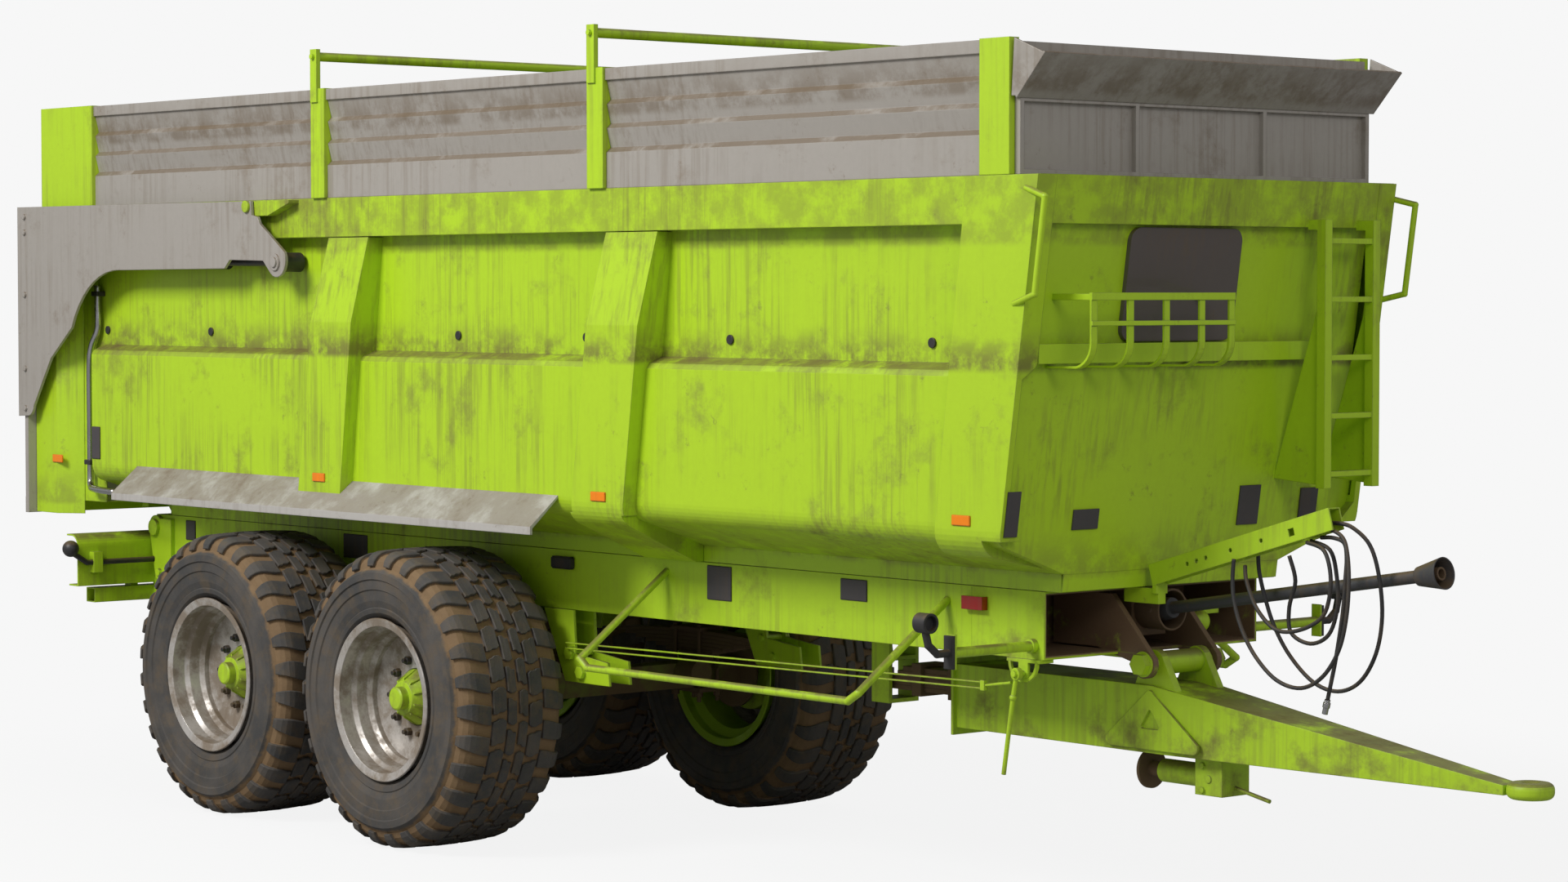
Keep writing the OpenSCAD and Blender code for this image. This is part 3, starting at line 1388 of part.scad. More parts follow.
// Arm plates bolted to the sides of the tailgate
module gate_arms() {
    xr = x_rear + 36;
    zp = z_gate_pin;
    tip_arc = arc(x_arm_tip + 8, z_arm_tip + 8, 78, 30, -130, 10);
    outline = concat([[xr, zp + 34], [x_gate_pin - 10, zp + 25], [x_gate_pin + 34, zp + 25],
            [x_gate_pin + 40, zp - 40],
                      [x_gate_pin + 92, zp - 50], [x_gate_pin + 108, zp - 80]],
                     tip_arc,
                     [[x_arm_tip - 106, zp - 256], [x_arm_tip - 398, zp - 250], [x_arm_tip - 446, zp - 291]],
                     [[x_gate_pin - 1195, zp - 294]],
                     arc(x_gate_pin - 1195, zp - 794, 500, 95, 155, 8),
                     [[x_gate_pin - 1860, zp - 740], [xr + 160, zp - 978]],
                     arc(xr + 92, zp - 975, 64, -10, -80, 5),
                     [[xr, zp - 1042]]);
    color(grey)
        both_sides() {
            difference() {
                side_plate(outline, arm_in, arm_in + arm_t);
                rod_y(x_gate_pin, z_gate_pin, gate_pin_r + run_gap, arm_in - 1, arm_in + arm_t + 1);
            }
            rod_y(x_arm_tip, z_arm_tip, 40, arm_in + arm_t - 1, arm_in + arm_t + 8);
            rod_y(x_arm_tip, z_arm_tip, 24, arm_in + arm_t, arm_in + arm_t + 16);
            for (z = [zp - 16, zp - 96, zp - 416, zp - 795, zp - 1000])
                rod_y(xr + 75, z, 14, arm_in + arm_t - 1, arm_in + arm_t + 10);
        }
}

// Barrels of the tailgate cylinders, pivoted on the tub
gate_cyl_len = x_arm_tip - x_gate_anchor;
gate_cyl_drop = atan2(z_gate_anchor - z_arm_tip, gate_cyl_len);

module along_gate_cylinder() {
    both_sides()
        translate([x_gate_anchor, gate_cyl_y, z_gate_anchor])
        rotate([0, 90 + gate_cyl_drop, 0])
        children();
}

module gate_barrels() {
    color(dark) {
        along_gate_cylinder()
            difference() {
                translate([0, 0, 46])
                cylinder(r = gate_cyl_r, h = 750);
                translate([0, 0, 90])
                cylinder(r = gate_rod_r + 10, h = 680);
                translate([0, 0, 760])
                cylinder(r = gate_rod_r + 1, h = 40);
            }
        both_sides()
            difference() {
                union() {
                    rod_y(x_gate_anchor, z_gate_anchor, 32, gate_cyl_y - 28, gate_cyl_y + 28);
                    span([x_gate_anchor, gate_cyl_y - 20, z_gate_anchor - 22], [x_gate_anchor + 56,
                            gate_cyl_y + 20, z_gate_anchor + 22]);
                }
                rod_y(x_gate_anchor, z_gate_anchor, 18 + run_gap, gate_cyl_y - 30, gate_cyl_y + 30);
            }
    }
}

// Rods of the tailgate cylinders with their end eyes
module gate_rods() {
    len = norm([gate_cyl_len, z_gate_anchor - z_arm_tip]);
    color(silver) {
        along_gate_cylinder() {
            translate([0, 0, 560])
            cylinder(r = gate_rod_r, h = len - 600);
            translate([0, 0, 560])
            cylinder(r = gate_rod_r + 8, h = 40);
        }
        both_sides()
            difference() {
                rod_y(x_arm_tip, z_arm_tip, 46, gate_cyl_y - 50, arm_in - side_gap);
                rod_y(x_arm_tip, z_arm_tip, 24, gate_cyl_y - 51, arm_in);
            }
    }
}

// ---- hoses ----

module hose_1() {
    color(dark)
        swept_tube(hose_1_route, hose_d, 24);
}

module hose_2() {
    color(dark)
        swept_tube(hose_2_route, hose_d, 24);
}

module hose_3() {
    color(dark)
        swept_tube(hose_3_route, hose_d, 18);
}

module hose_4() {
    color(dark)
        swept_tube(hose_4_route, hose_d, 16);
}

module hose_5() {
    color(dark)
        swept_tube(hose_5_route, hose_d, 16);
}

// Coupling on the free hose end and the glands on the hose arm
module hose_couplings() {
    e = hose_3_route[len(hose_3_route) - 1];
    d = unit(e - hose_3_route[len(hose_3_route) - 2]);
    color(silver) {
        bar(e, e + d * coupling_len, 11);
        bar(e + d * 12, e + d * 30, 14);
    }
}

chassis_frame();
front_beam();
hinge_pins();
spring_hangers();
leaf_springs();
axles();
side_guards();
marker_arms();
marker_lamps();
red_lamps();
hose_arm();
pto_bell();
accumulator();
underrun_bar();
lock_rod();
tyre(x_axle_f, 1);  // tyre_fl
tyre(x_axle_f, -1);  // tyre_fr
tyre(x_axle_r, 1);  // tyre_rl
tyre(x_axle_r, -1);  // tyre_rr
rim(x_axle_f, 1);  // rim_fl
rim(x_axle_f, -1);  // rim_fr
rim(x_axle_r, 1);  // rim_rl
rim(x_axle_r, -1);  // rim_rr
hub(x_axle_f, 1);  // hub_fl
hub(x_axle_f, -1);  // hub_fr
hub(x_axle_r, 1);  // hub_rl
hub(x_axle_r, -1);  // hub_rr
drawbar();
tow_eye();
drawbar_spring();
stand_barrel();
stand_foot();
pto_guard();
pto_shaft();
brake_lever();
brake_rods();
tip_barrel();
tip_stage(0);  // tip_stage_1
tip_stage(1);  // tip_stage_2
tip_stage(2);  // tip_stage_3
tub();
tub_ribs();
ladder();
grab_handles();
basket_rack();
window();
fenders();
extension();
extension_posts();
cover_bows();
gate();
gate_arms();
gate_barrels();
gate_rods();
hose_1();
hose_2();
hose_3();
hose_4();
hose_5();
hose_couplings();
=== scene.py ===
# %% [markdown]
# # A muddy grain trailer
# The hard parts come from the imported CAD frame. This script gives them worn, dusty paint and
# adds what CAD leaves out: tyres with real tread, wheel nuts, pads, reflectors, plugs, drain pipes
# and smooth hoses.
# Lengths are metres. +X points to the tow eye, +Z up, and the ground is at z = 0.

import math

import bmesh
import bpy
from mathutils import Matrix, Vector


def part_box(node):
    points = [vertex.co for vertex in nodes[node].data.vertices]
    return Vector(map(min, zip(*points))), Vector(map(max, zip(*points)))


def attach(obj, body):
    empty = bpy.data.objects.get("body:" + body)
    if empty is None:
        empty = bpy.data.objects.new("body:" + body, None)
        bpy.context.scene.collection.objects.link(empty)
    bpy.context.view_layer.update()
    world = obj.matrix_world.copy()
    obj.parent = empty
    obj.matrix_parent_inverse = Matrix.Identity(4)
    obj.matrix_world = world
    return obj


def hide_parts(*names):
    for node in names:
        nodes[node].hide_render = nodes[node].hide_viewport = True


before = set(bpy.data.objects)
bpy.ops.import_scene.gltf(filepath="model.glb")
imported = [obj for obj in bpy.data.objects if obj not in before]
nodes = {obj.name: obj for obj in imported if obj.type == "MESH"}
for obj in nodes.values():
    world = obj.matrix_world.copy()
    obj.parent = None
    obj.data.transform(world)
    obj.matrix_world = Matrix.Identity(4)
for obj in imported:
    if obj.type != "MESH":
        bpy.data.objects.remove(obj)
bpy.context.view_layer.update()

# %% [markdown]
# ## Camera and light
# The camera stands low in front of the right side, with a long lens. A pale floor and world
# with soft lamps give the even light of a studio. The world looks paler to the camera than the
# light it gives, so that the paint isn't washed out.

# %% Camera
scene = bpy.context.scene
CAMERA_PLACE = (12.560, -10.440, 2.471)
CAMERA_TURN, CAMERA_DIP = math.radians(49.426), math.radians(2.329)
LENS_MM, SENSOR_MM = 84.58, 36
look = Vector((-math.sin(CAMERA_TURN) * math.cos(CAMERA_DIP),
               math.cos(CAMERA_TURN) * math.cos(CAMERA_DIP), -math.sin(CAMERA_DIP)))
camera = bpy.data.objects.new("camera", bpy.data.cameras.new("camera"))
camera.data.lens = LENS_MM
camera.data.sensor_width = SENSOR_MM
camera.data.clip_end = 200
camera.location = CAMERA_PLACE
camera.rotation_mode = "QUATERNION"
camera.rotation_quaternion = look.to_track_quat("-Z", "Y")
scene.collection.objects.link(camera)
scene.camera = camera
scene.view_settings.view_transform = "Standard"

# %% World, lamps and floor
world = bpy.data.worlds.new("studio")
scene.world = world
world.use_nodes = True
PALE = (0.93, 0.93, 0.93, 1)
WORLD_LIGHT = 0.42
FLOOR_REACH = 60
wt = world.node_tree
seen = wt.nodes["Background"]
seen.inputs["Color"].default_value = PALE
dim = wt.nodes.new("ShaderNodeBackground")
dim.inputs["Color"].default_value = PALE
dim.inputs["Strength"].default_value = WORLD_LIGHT
pick = wt.nodes.new("ShaderNodeMixShader")
wt.links.new(wt.nodes.new("ShaderNodeLightPath").outputs["Is Camera Ray"], pick.inputs[0])
wt.links.new(dim.outputs[0], pick.inputs[1])
wt.links.new(seen.outputs[0], pick.inputs[2])
wt.links.new(pick.outputs[0], wt.nodes["World Output"].inputs["Surface"])


def area_lamp(name, place, target, size, watts):
    lamp = bpy.data.objects.new(name, bpy.data.lights.new(name, "AREA"))
    lamp.data.shape = "RECTANGLE"
    lamp.data.size, lamp.data.size_y = size
    lamp.data.energy = watts
    lamp.location = place
    lamp.rotation_mode = "QUATERNION"
    lamp.rotation_quaternion = (Vector(target) - Vector(place)).to_track_quat("-Z", "Y")
    scene.collection.objects.link(lamp)


area_lamp("key", (-1.5, -11, 10), (-0.5, 0, 1.4), (5, 4), 1450)
area_lamp("front", (12, -4, 7), (2, 0, 1.2), (4, 3), 190)

floor_mesh = bpy.data.meshes.new("floor")
floor_corners = [(x * FLOOR_REACH, y * FLOOR_REACH, 0) for x, y in ((-1, -1), (1, -1), (1, 1), (-1, 1))]
floor_mesh.from_pydata(floor_corners, [], [(0, 1, 2, 3)])
floor = bpy.data.objects.new("floor", floor_mesh)
scene.collection.objects.link(floor)

# %% [markdown]
# ## Node helpers
# `add` makes one shader node and fills its inputs. A value goes straight into the socket and a
# socket is linked, so each material reads as a short list of steps.

# %% Node helpers
def add(tree, kind, inputs=None, **props):
    node = tree.nodes.new(kind)
    for key, value in props.items():
        setattr(node, key, value)
    for key, value in (inputs or {}).items():
        if isinstance(value, bpy.types.NodeSocket):
            tree.links.new(value, node.inputs[key])
        else:
            node.inputs[key].default_value = value
    return node


def math_node(tree, operation, a, b=0.0, clamp=False):
    return add(tree, "ShaderNodeMath", {0: a, 1: b}, operation=operation, use_clamp=clamp).outputs[0]


def times(tree, a, b):
    return math_node(tree, "MULTIPLY", a, b)


def remap(tree, value, low, high, to_low=0.0, to_high=1.0):
    """A value that goes smoothly from to_low at low to to_high at high."""
    node = add(tree, "ShaderNodeMapRange", {"Value": value, "From Min": low, "From Max": high,
                                            "To Min": to_low, "To Max": to_high})
    node.interpolation_type = "SMOOTHSTEP"
    return node.outputs["Result"]


def mix(tree, factor, a, b, blend="MIX"):
    node = tree.nodes.new("ShaderNodeMix")
    node.data_type = "RGBA"
    node.blend_type = blend
    for index, value in ((0, factor), (6, a), (7, b)):
        if isinstance(value, bpy.types.NodeSocket):
            tree.links.new(value, node.inputs[index])
        else:
            node.inputs[index].default_value = value
    return node.outputs[2]


def noise(tree, vector, scale, detail=4.0, rough=0.55):
    node = add(tree, "ShaderNodeTexNoise", {"Vector": vector, "Scale": scale, "Detail": detail,
                                            "Roughness": rough})
    return node.outputs["Fac"]


def rgb(r, g, b):
    """A colour given as it looks on screen, 0 to 255, made linear."""
    def linear(v):
        v /= 255
        return v / 12.92 if v <= 0.04045 else ((v + 0.055) / 1.055) ** 2.4
    return (linear(r), linear(g), linear(b), 1)


def within(tree, value, low, high, soft=0.004):
    """1 where a value lies between two limits, with soft ends."""
    after = remap(tree, value, low - soft, low + soft)
    before = remap(tree, value, high + soft, high - soft)
    return times(tree, after, before)


# %% [markdown]
# ## Weather
# One shader node group works out where dirt lies: blotches, streaks that run down, mud thrown up
# near the ground, dust on ledges, worn edges. It returns masks and a height for bumps, and each
# material chooses what to do with them.

# %% Weather group
weather = bpy.data.node_groups.new("Weather", "ShaderNodeTree")
face = weather.interface
for label, kind, value in (("Vector", "NodeSocketVector", None), ("Amount", "NodeSocketFloat", 0.5),
                           ("Mud height", "NodeSocketFloat", 1.3)):
    item = face.new_socket(label, in_out="INPUT", socket_type=kind)
    if value is not None:
        item.default_value = value
for label in ("Blotch", "Streak", "Mud", "Ledge", "Edge", "Grain", "Height"):
    face.new_socket(label, in_out="OUTPUT", socket_type="NodeSocketFloat")
face.new_socket("Normal", in_out="OUTPUT", socket_type="NodeSocketVector")

g_in = weather.nodes.new("NodeGroupInput")
g_out = weather.nodes.new("NodeGroupOutput")
place = g_in.outputs["Vector"]
amount = g_in.outputs["Amount"]
parts = add(weather, "ShaderNodeSeparateXYZ", {0: place})
big = noise(weather, place, 0.9, 5, 0.6)
mid = noise(weather, place, 4.5, 8, 0.68)
fine = noise(weather, place, 38, 4, 0.6)
tall = add(weather, "ShaderNodeVectorMath", {0: place, 1: (20, 20, 0.8)}, operation="MULTIPLY").outputs[0]
run = noise(weather, tall, 1.6, 6, 0.62)
threshold = math_node(weather, "MULTIPLY_ADD", amount, -0.22)
threshold.node.inputs[2].default_value = 0.66
patches = math_node(weather, "ADD", times(weather, mid, 0.7), times(weather, big, 0.3))
above = math_node(weather, "SUBTRACT", patches, threshold)
blotch = remap(weather, above, -0.02, 0.14)
streak = times(weather, remap(weather, run, 0.44, 0.66), remap(weather, big, 0.38, 0.56))
drop = math_node(weather, "SUBTRACT", g_in.outputs["Mud height"], parts.outputs["Z"])
ragged = times(weather, math_node(weather, "SUBTRACT", mid, 0.5), 1.6)
low = math_node(weather, "ADD", drop, ragged)
mud = remap(weather, low, -0.15, 0.75)
normal = add(weather, "ShaderNodeNewGeometry").outputs["Normal"]
up = add(weather, "ShaderNodeSeparateXYZ", {0: normal}).outputs["Z"]
ledge = times(weather, remap(weather, up, 0.25, 0.8), remap(weather, mid, 0.3, 0.52))
round_edge = add(weather, "ShaderNodeBevel", {"Radius": 0.006}, samples=4).outputs["Normal"]
bend = add(weather, "ShaderNodeVectorMath", {0: round_edge, 1: normal}, operation="DOT_PRODUCT")
edge = times(weather, remap(weather, bend.outputs["Value"], 0.995, 0.93), remap(weather, mid, 0.4, 0.6))
speck = remap(weather, noise(weather, place, 17, 6, 0.75), 0.58, 0.70)
spots = times(weather, speck, remap(weather, mid, 0.46, 0.6))
blotch = math_node(weather, "MAXIMUM", blotch, spots)
height = math_node(weather, "ADD", times(weather, blotch, 0.35), times(weather, fine, 0.5))
for label, socket in (("Blotch", blotch), ("Streak", streak), ("Mud", mud), ("Ledge", ledge), ("Edge", edge),
                      ("Grain", fine), ("Height", height), ("Normal", round_edge)):
    weather.links.new(socket, g_out.inputs[label])
print("Weather group:", len(weather.nodes), "nodes")

# %% [markdown]
# ## Finishes
# `finish_for` builds one material: a base colour, dirt over it, bare spots at the edges, and fine
# bumps. A band lays a mud-coloured film near one height: most bands are grime, and the tub's third band
# is painted shade under the top rail. A band is (z where it is thickest, z where it ends, strength).
# A box is a muddy inside, as (half width, lowest z, highest z). Every CAD node and added piece except
# a tyre gets one of these.

# %% Material builder
MUD = rgb(104, 84, 56)
INNER_MUD = rgb(112, 88, 64)
BARE_EDGE = rgb(120, 112, 96)
DISH_Y = 0.93


def finish_for(name, base, rough=0.5, metal=0.0, amount=0.5, mud_height=1.2, streaks=0.4, blotches=0.45,
               edges=0.3, ledges=0.7, bump=0.15, coat=0.0, muddy=1.0, grime_and_shade_bands=(), boxes=(), inner=None):
    m = bpy.data.materials.new(name)
    m.use_nodes = True
    t = m.node_tree
    t.nodes.clear()
    where = add(t, "ShaderNodeTexCoord").outputs["Object"]
    w = t.nodes.new("ShaderNodeGroup")
    w.node_tree = weather
    t.links.new(where, w.inputs["Vector"])
    w.inputs["Amount"].default_value = amount
    w.inputs["Mud height"].default_value = mud_height
    darker = tuple(c * 0.72 for c in base[:3]) + (1,)
    tint = mix(t, times(t, w.outputs["Grain"], 0.35), base, darker)
    stained = mix(t, times(t, w.outputs["Streak"], streaks), tint, mix(t, 0.55, base, MUD))
    stained = mix(t, times(t, w.outputs["Blotch"], blotches), stained, MUD)
    worn = mix(t, times(t, w.outputs["Edge"], edges), stained, BARE_EDGE)
    dusty = mix(t, times(t, w.outputs["Ledge"], ledges), worn, MUD)
    coloured = mix(t, times(t, w.outputs["Mud"], muddy), dusty, MUD)
    at_xyz = add(t, "ShaderNodeSeparateXYZ", {0: where}).outputs
    grime_and_shade_noise = noise(t, where, 7, 8, 0.7)
    # Each band mixes in mud colour. On the tub, the band from z 2.63 up is painted shade under the top rail.
    for low, high, strength in grime_and_shade_bands:
        fade = times(t, remap(t, at_xyz["Z"], high, low), remap(t, at_xyz["Z"], low - 0.03, low))
        film = times(t, times(t, fade, strength), remap(t, grime_and_shade_noise, 0.36, 0.6))
        coloured = mix(t, film, coloured, MUD)
    side = math_node(t, "ABSOLUTE", at_xyz["Y"])
    for y_high, z_low, z_high in boxes:
        inside = times(t, within(t, side, -1.0, y_high), within(t, at_xyz["Z"], z_low, z_high))
        coloured = mix(t, times(t, inside, remap(t, grime_and_shade_noise, 0.2, 0.42)), coloured, INNER_MUD)
    if inner:
        coloured = mix(t, within(t, side, -1.0, DISH_Y, 0.01), coloured, inner)
    dirt = math_node(t, "MAXIMUM", times(t, w.outputs["Mud"], muddy), times(t, w.outputs["Blotch"], blotches),
                     clamp=True)
    grainy = math_node(t, "ADD", dirt, times(t, w.outputs["Grain"], 0.15))
    roughness = remap(t, grainy, 0, 1, rough, 0.9)
    bare = math_node(t, "SUBTRACT", 1.0, dirt)
    bumps = add(t, "ShaderNodeBump", {"Height": w.outputs["Height"], "Strength": bump, "Distance": 0.004,
                                      "Normal": w.outputs["Normal"]})
    shader = add(t, "ShaderNodeBsdfPrincipled", {"Base Color": coloured, "Roughness": roughness,
                                                 "Metallic": times(t, bare, metal), "Coat Weight": coat,
                                                 "Normal": bumps.outputs["Normal"]})
    out = t.nodes.new("ShaderNodeOutputMaterial")
    t.links.new(shader.outputs["BSDF"], out.inputs["Surface"])
    return m


GREEN = rgb(180, 216, 34)
GREY = rgb(172, 166, 158)
paint = {
    # Tub bands: the first two are grime, and the third, from z 2.63 up, is painted shade under the top rail.
    "tub": finish_for("green paint, tub, with painted rail shade", GREEN, 0.42, mud_height=0.5, amount=0.58, streaks=0.75,
                      blotches=0.5, grime_and_shade_bands=[(2.19, 2.36, 0.75), (1.40, 1.62, 0.4), (2.66, 2.42, 0.35)]),
    "green": finish_for("green paint", GREEN, 0.42, mud_height=0.55, amount=0.5, streaks=0.6, blotches=0.45),
    "green_low": finish_for("green paint, chassis", GREEN, 0.5, mud_height=0.65, amount=0.55, streaks=0.5,
                            blotches=0.5, ledges=0.8),
    "green_dark": finish_for("green paint, muddy axles", rgb(120, 150, 30), 0.7, mud_height=1.2, amount=1.0,
                             blotches=0.8),
    "beam": finish_for("muddy open beam", GREEN, 0.6, mud_height=0.9, amount=0.8, blotches=0.6,
                       boxes=[(0.590, 1.074, 1.320), (0.196, 0.90, 1.075)]),
    "grey": finish_for("grey sheet", GREY, 0.38, 0.15, amount=0.5, mud_height=0.5, streaks=0.5,
                       blotches=0.45, grime_and_shade_bands=[(3.22, 3.42, 0.5)]),
    "fender": finish_for("grey mudguard", rgb(184, 180, 174), 0.5, amount=0.6, mud_height=1.1, blotches=0.6,
                         ledges=0.5),
    "rim": finish_for("silver rim", rgb(205, 200, 194), 0.36, 0.5, amount=1.0, mud_height=0.2, blotches=0.75,
                      edges=0.0, ledges=0.5, muddy=0.6, inner=rgb(150, 185, 34)),
    "steel": finish_for("bright steel", rgb(190, 190, 192), 0.25, 1.0, amount=0.3, mud_height=0.2,
                        blotches=0.3),
    "iron": finish_for("rusty iron", rgb(104, 82, 62), 0.75, 0.2, amount=0.8, mud_height=1.3, blotches=0.6,
                       muddy=0.6),
    "black": finish_for("black metal", rgb(52, 52, 54), 0.45, 0.2, amount=0.5, mud_height=0.7, blotches=0.4),
    "rubber": finish_for("black rubber", rgb(46, 45, 46), 0.6, amount=0.6, mud_height=0.6, blotches=0.5,
                         edges=0.0),
    "plastic": finish_for("guard plastic", rgb(64, 64, 68), 0.55, amount=0.6, mud_height=0.8, blotches=0.45,
                          edges=0.0),
    "red": finish_for("red lens", rgb(170, 22, 14), 0.18, amount=0.5, mud_height=0.5, blotches=0.4,
                      edges=0.0, coat=0.6),
    "orange": finish_for("orange lens", rgb(255, 140, 18), 0.2, amount=0.1, mud_height=0.3, blotches=0.15,
                         edges=0.0, coat=0.6),
    "pad": finish_for("dark pad", rgb(72, 68, 70), 0.6, amount=0.5, mud_height=0.4, blotches=0.3,
                      edges=0.0, bump=0.3),
    "glass": finish_for("dark glass", rgb(92, 84, 80), 0.35, amount=0.6, mud_height=0.3, blotches=0.4,
                        edges=0.0, coat=0.3),
}
print("materials:", ", ".join(sorted(paint)))

# %% [markdown]
# ### Floor
# The floor glows as pale as the background, and a weak diffuse part near the trailer keeps the soft
# shadow. Light that bounces off it comes from a plain grey instead.

# %% Floor material
SHADOW_START, SHADOW_END, SHADOW_DEPTH = 3.5, 6.5, 0.06
BOUNCE_GREY = (0.35, 0.35, 0.35, 1)
floor_material = bpy.data.materials.new("floor")
floor_material.use_nodes = True
ft = floor_material.node_tree
ft.nodes.clear()
floor_point = add(ft, "ShaderNodeTexCoord").outputs["Object"]
far = add(ft, "ShaderNodeVectorMath", {0: floor_point}, operation="LENGTH")
near = remap(ft, far.outputs["Value"], SHADOW_START, SHADOW_END, SHADOW_DEPTH, 0.0)
glow = add(ft, "ShaderNodeEmission", {"Color": PALE, "Strength": math_node(ft, "SUBTRACT", 1.0, near)})
soft = add(ft, "ShaderNodeBsdfDiffuse", {"Color": mix(ft, near, (0, 0, 0, 1), (1, 1, 1, 1))})
shown = add(ft, "ShaderNodeAddShader", {0: glow.outputs[0], 1: soft.outputs[0]})
plain = add(ft, "ShaderNodeBsdfDiffuse", {"Color": BOUNCE_GREY})
chosen = add(ft, "ShaderNodeMixShader", {0: add(ft, "ShaderNodeLightPath").outputs["Is Camera Ray"],
                                         1: plain.outputs[0], 2: shown.outputs[0]})
ft.links.new(chosen.outputs[0], ft.nodes.new("ShaderNodeOutputMaterial").inputs["Surface"])
floor_mesh.materials.append(floor_material)

# %% [markdown]
# ## Finishes on the CAD nodes
# Each CAD node keeps its mesh and its place and only gets a material. Nodes that are the same stuff
# on the real trailer share one.

# %% Assign materials
by_paint = {
    "tub": "tub tub_ribs",
    "green": "ladder grab_handles basket_rack extension_posts cover_bows",
    "green_low": "chassis_frame hinge_pins spring_hangers side_guards marker_arms hose_arm accumulator "
                 "underrun_bar drawbar tow_eye stand_barrel brake_lever brake_rods "
                 "hub_fl hub_fr hub_rl hub_rr",
    "beam": "front_beam",
    "green_dark": "axles",
    "grey": "extension gate gate_arms",
    "fender": "fenders",
    "rim": "rim_fl rim_fr rim_rl rim_rr",
    "steel": "tip_barrel tip_stage_1 tip_stage_2 tip_stage_3 hose_couplings",
    "iron": "leaf_springs drawbar_spring pto_bell pto_shaft stand_foot",
    "black": "gate_barrels gate_rods lock_rod",
    "plastic": "pto_guard",
    "rubber": "marker_lamps tyre_fl tyre_fr tyre_rl tyre_rr hose_1 hose_2 hose_3 hose_4 hose_5",
    "red": "red_lamps",
    "glass": "window",
}
for key, names in by_paint.items():
    for name in names.split():
        mesh = nodes[name].data
        mesh.materials.clear()
        mesh.materials.append(paint[key])
left = [n for n in nodes if not any(n in v.split() for v in by_paint.values())]
print("nodes without a finish:", left)


# %% [markdown]
# ## Mesh helpers
# Each added piece is one mesh in the trailer's own coordinates. `piece` names it, fastens it to a
# CAD body and gives it a finish.

# %% Mesh helpers
def piece(name, mesh, body, material, smooth=False):
    obj = bpy.data.objects.new(name, mesh)
    scene.collection.objects.link(obj)
    if material is not None and not mesh.materials:
        mesh.materials.append(material)
    for polygon in mesh.polygons:
        polygon.use_smooth = smooth
    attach(obj, body)
    return obj


def from_bmesh(name, bm):
    bmesh.ops.recalc_face_normals(bm, faces=bm.faces)
    mesh = bpy.data.meshes.new(name)
    bm.to_mesh(mesh)
    bm.free()
    return mesh


def add_box(bm, low, high, turn=None, bevel=0.0):
    """A box between two corners, turned by a matrix about its own middle."""
    centre = (Vector(low) + Vector(high)) / 2
    half = (Vector(high) - Vector(low)) / 2
    made = bmesh.ops.create_cube(bm, size=2)["verts"]
    for v in made:
        v.co = Vector((v.co.x * half.x, v.co.y * half.y, v.co.z * half.z))
        if turn is not None:
            v.co = turn @ v.co
        v.co += centre
    if bevel:
        edges = {e for v in made for e in v.link_edges}
        bmesh.ops.bevel(bm, geom=list(edges), offset=bevel, segments=2, affect="EDGES")


def tube_along(bm, points, radius, sides=12):
    """A round tube through points, with flat ends."""
    points = [Vector(p) for p in points]
    rings = []
    side = None
    for i, p in enumerate(points):
        before, after = points[max(0, i - 1)], points[min(len(points) - 1, i + 1)]
        along = (after - before).normalized()
        if side is None:
            side = along.cross(Vector((0.02, 0.1, 1))).normalized()
        side = (side - along * side.dot(along)).normalized()
        other = along.cross(side)
        rings.append([bm.verts.new(p + radius * (math.cos(a) * side + math.sin(a) * other))
                      for a in (2 * math.pi * k / sides for k in range(sides))])
    for a, b in zip(rings, rings[1:]):
        for k in range(sides):
            bm.faces.new((a[k], a[(k + 1) % sides], b[(k + 1) % sides], b[k]))
    bm.faces.new(rings[0])
    bm.faces.new(rings[-1])


def smooth_path(points, steps=8):
    """Points on a rounded curve through the given points."""
    points = [Vector(p) for p in points]
    line = []
    for i in range(len(points) - 1):
        a, b, c, d = (points[max(0, i - 1)], points[i], points[i + 1], points[min(len(points) - 1, i + 2)])
        for k in range(steps):
            u = k / steps
            line.append(0.5 * (2 * b + (c - a) * u + (2 * a - 5 * b + 4 * c - d) * u * u
                               + (3 * b - a - 3 * c + d) * u ** 3))
    return line + [points[-1]]


def length_of(line):
    return sum((b - a).length for a, b in zip(line, line[1:]))


# %% [markdown]
# ## Tyres
# A tyre is a turned carcass with tread blocks. One pitch of the tread has two large shoulder lugs,
# two middle blocks and two narrow ones that interlock. Geometry Nodes repeats the pitch round the
# wheel. A `groove` attribute is 0 on the worn tops and 1 down in the grooves, where mud packs.

# %% Tread profile
TYRE_R, HALF_W, TREAD = 0.6665, 0.293, 0.017


def tread_point(t):
    """Distance across and radius of the tread surface, t metres round from the middle."""
    flat, corner = 0.205, 0.078
    s, a = (1 if t >= 0 else -1), abs(t)
    if a <= flat:
        return s * a, TYRE_R - 0.007 * (a / flat) ** 2, 0.0
    turn = (a - flat) / corner
    return s * (flat + corner * math.sin(turn)), TYRE_R - 0.007 - corner * (1 - math.cos(turn)), s * turn


def carcass():
    """Turned profile of the tyre without its tread blocks."""
    tread = []
    for i in range(-10, 11):
        t = 0.32 * i / 10
        across, radius, turn = tread_point(t)
        tread.append((across - TREAD * math.sin(turn), radius - TREAD * math.cos(turn)))
    wall = [(0.291, 0.565), (0.293, 0.535), (0.286, 0.53), (0.287, 0.49), (0.281, 0.485), (0.278, 0.44),
            (0.268, 0.41), (0.272, 0.405), (0.268, 0.385), (0.25, 0.366), (0.225, 0.352), (0.20, 0.335)]
    left = [(-y, r) for y, r in reversed(wall)]
    return left + tread + wall


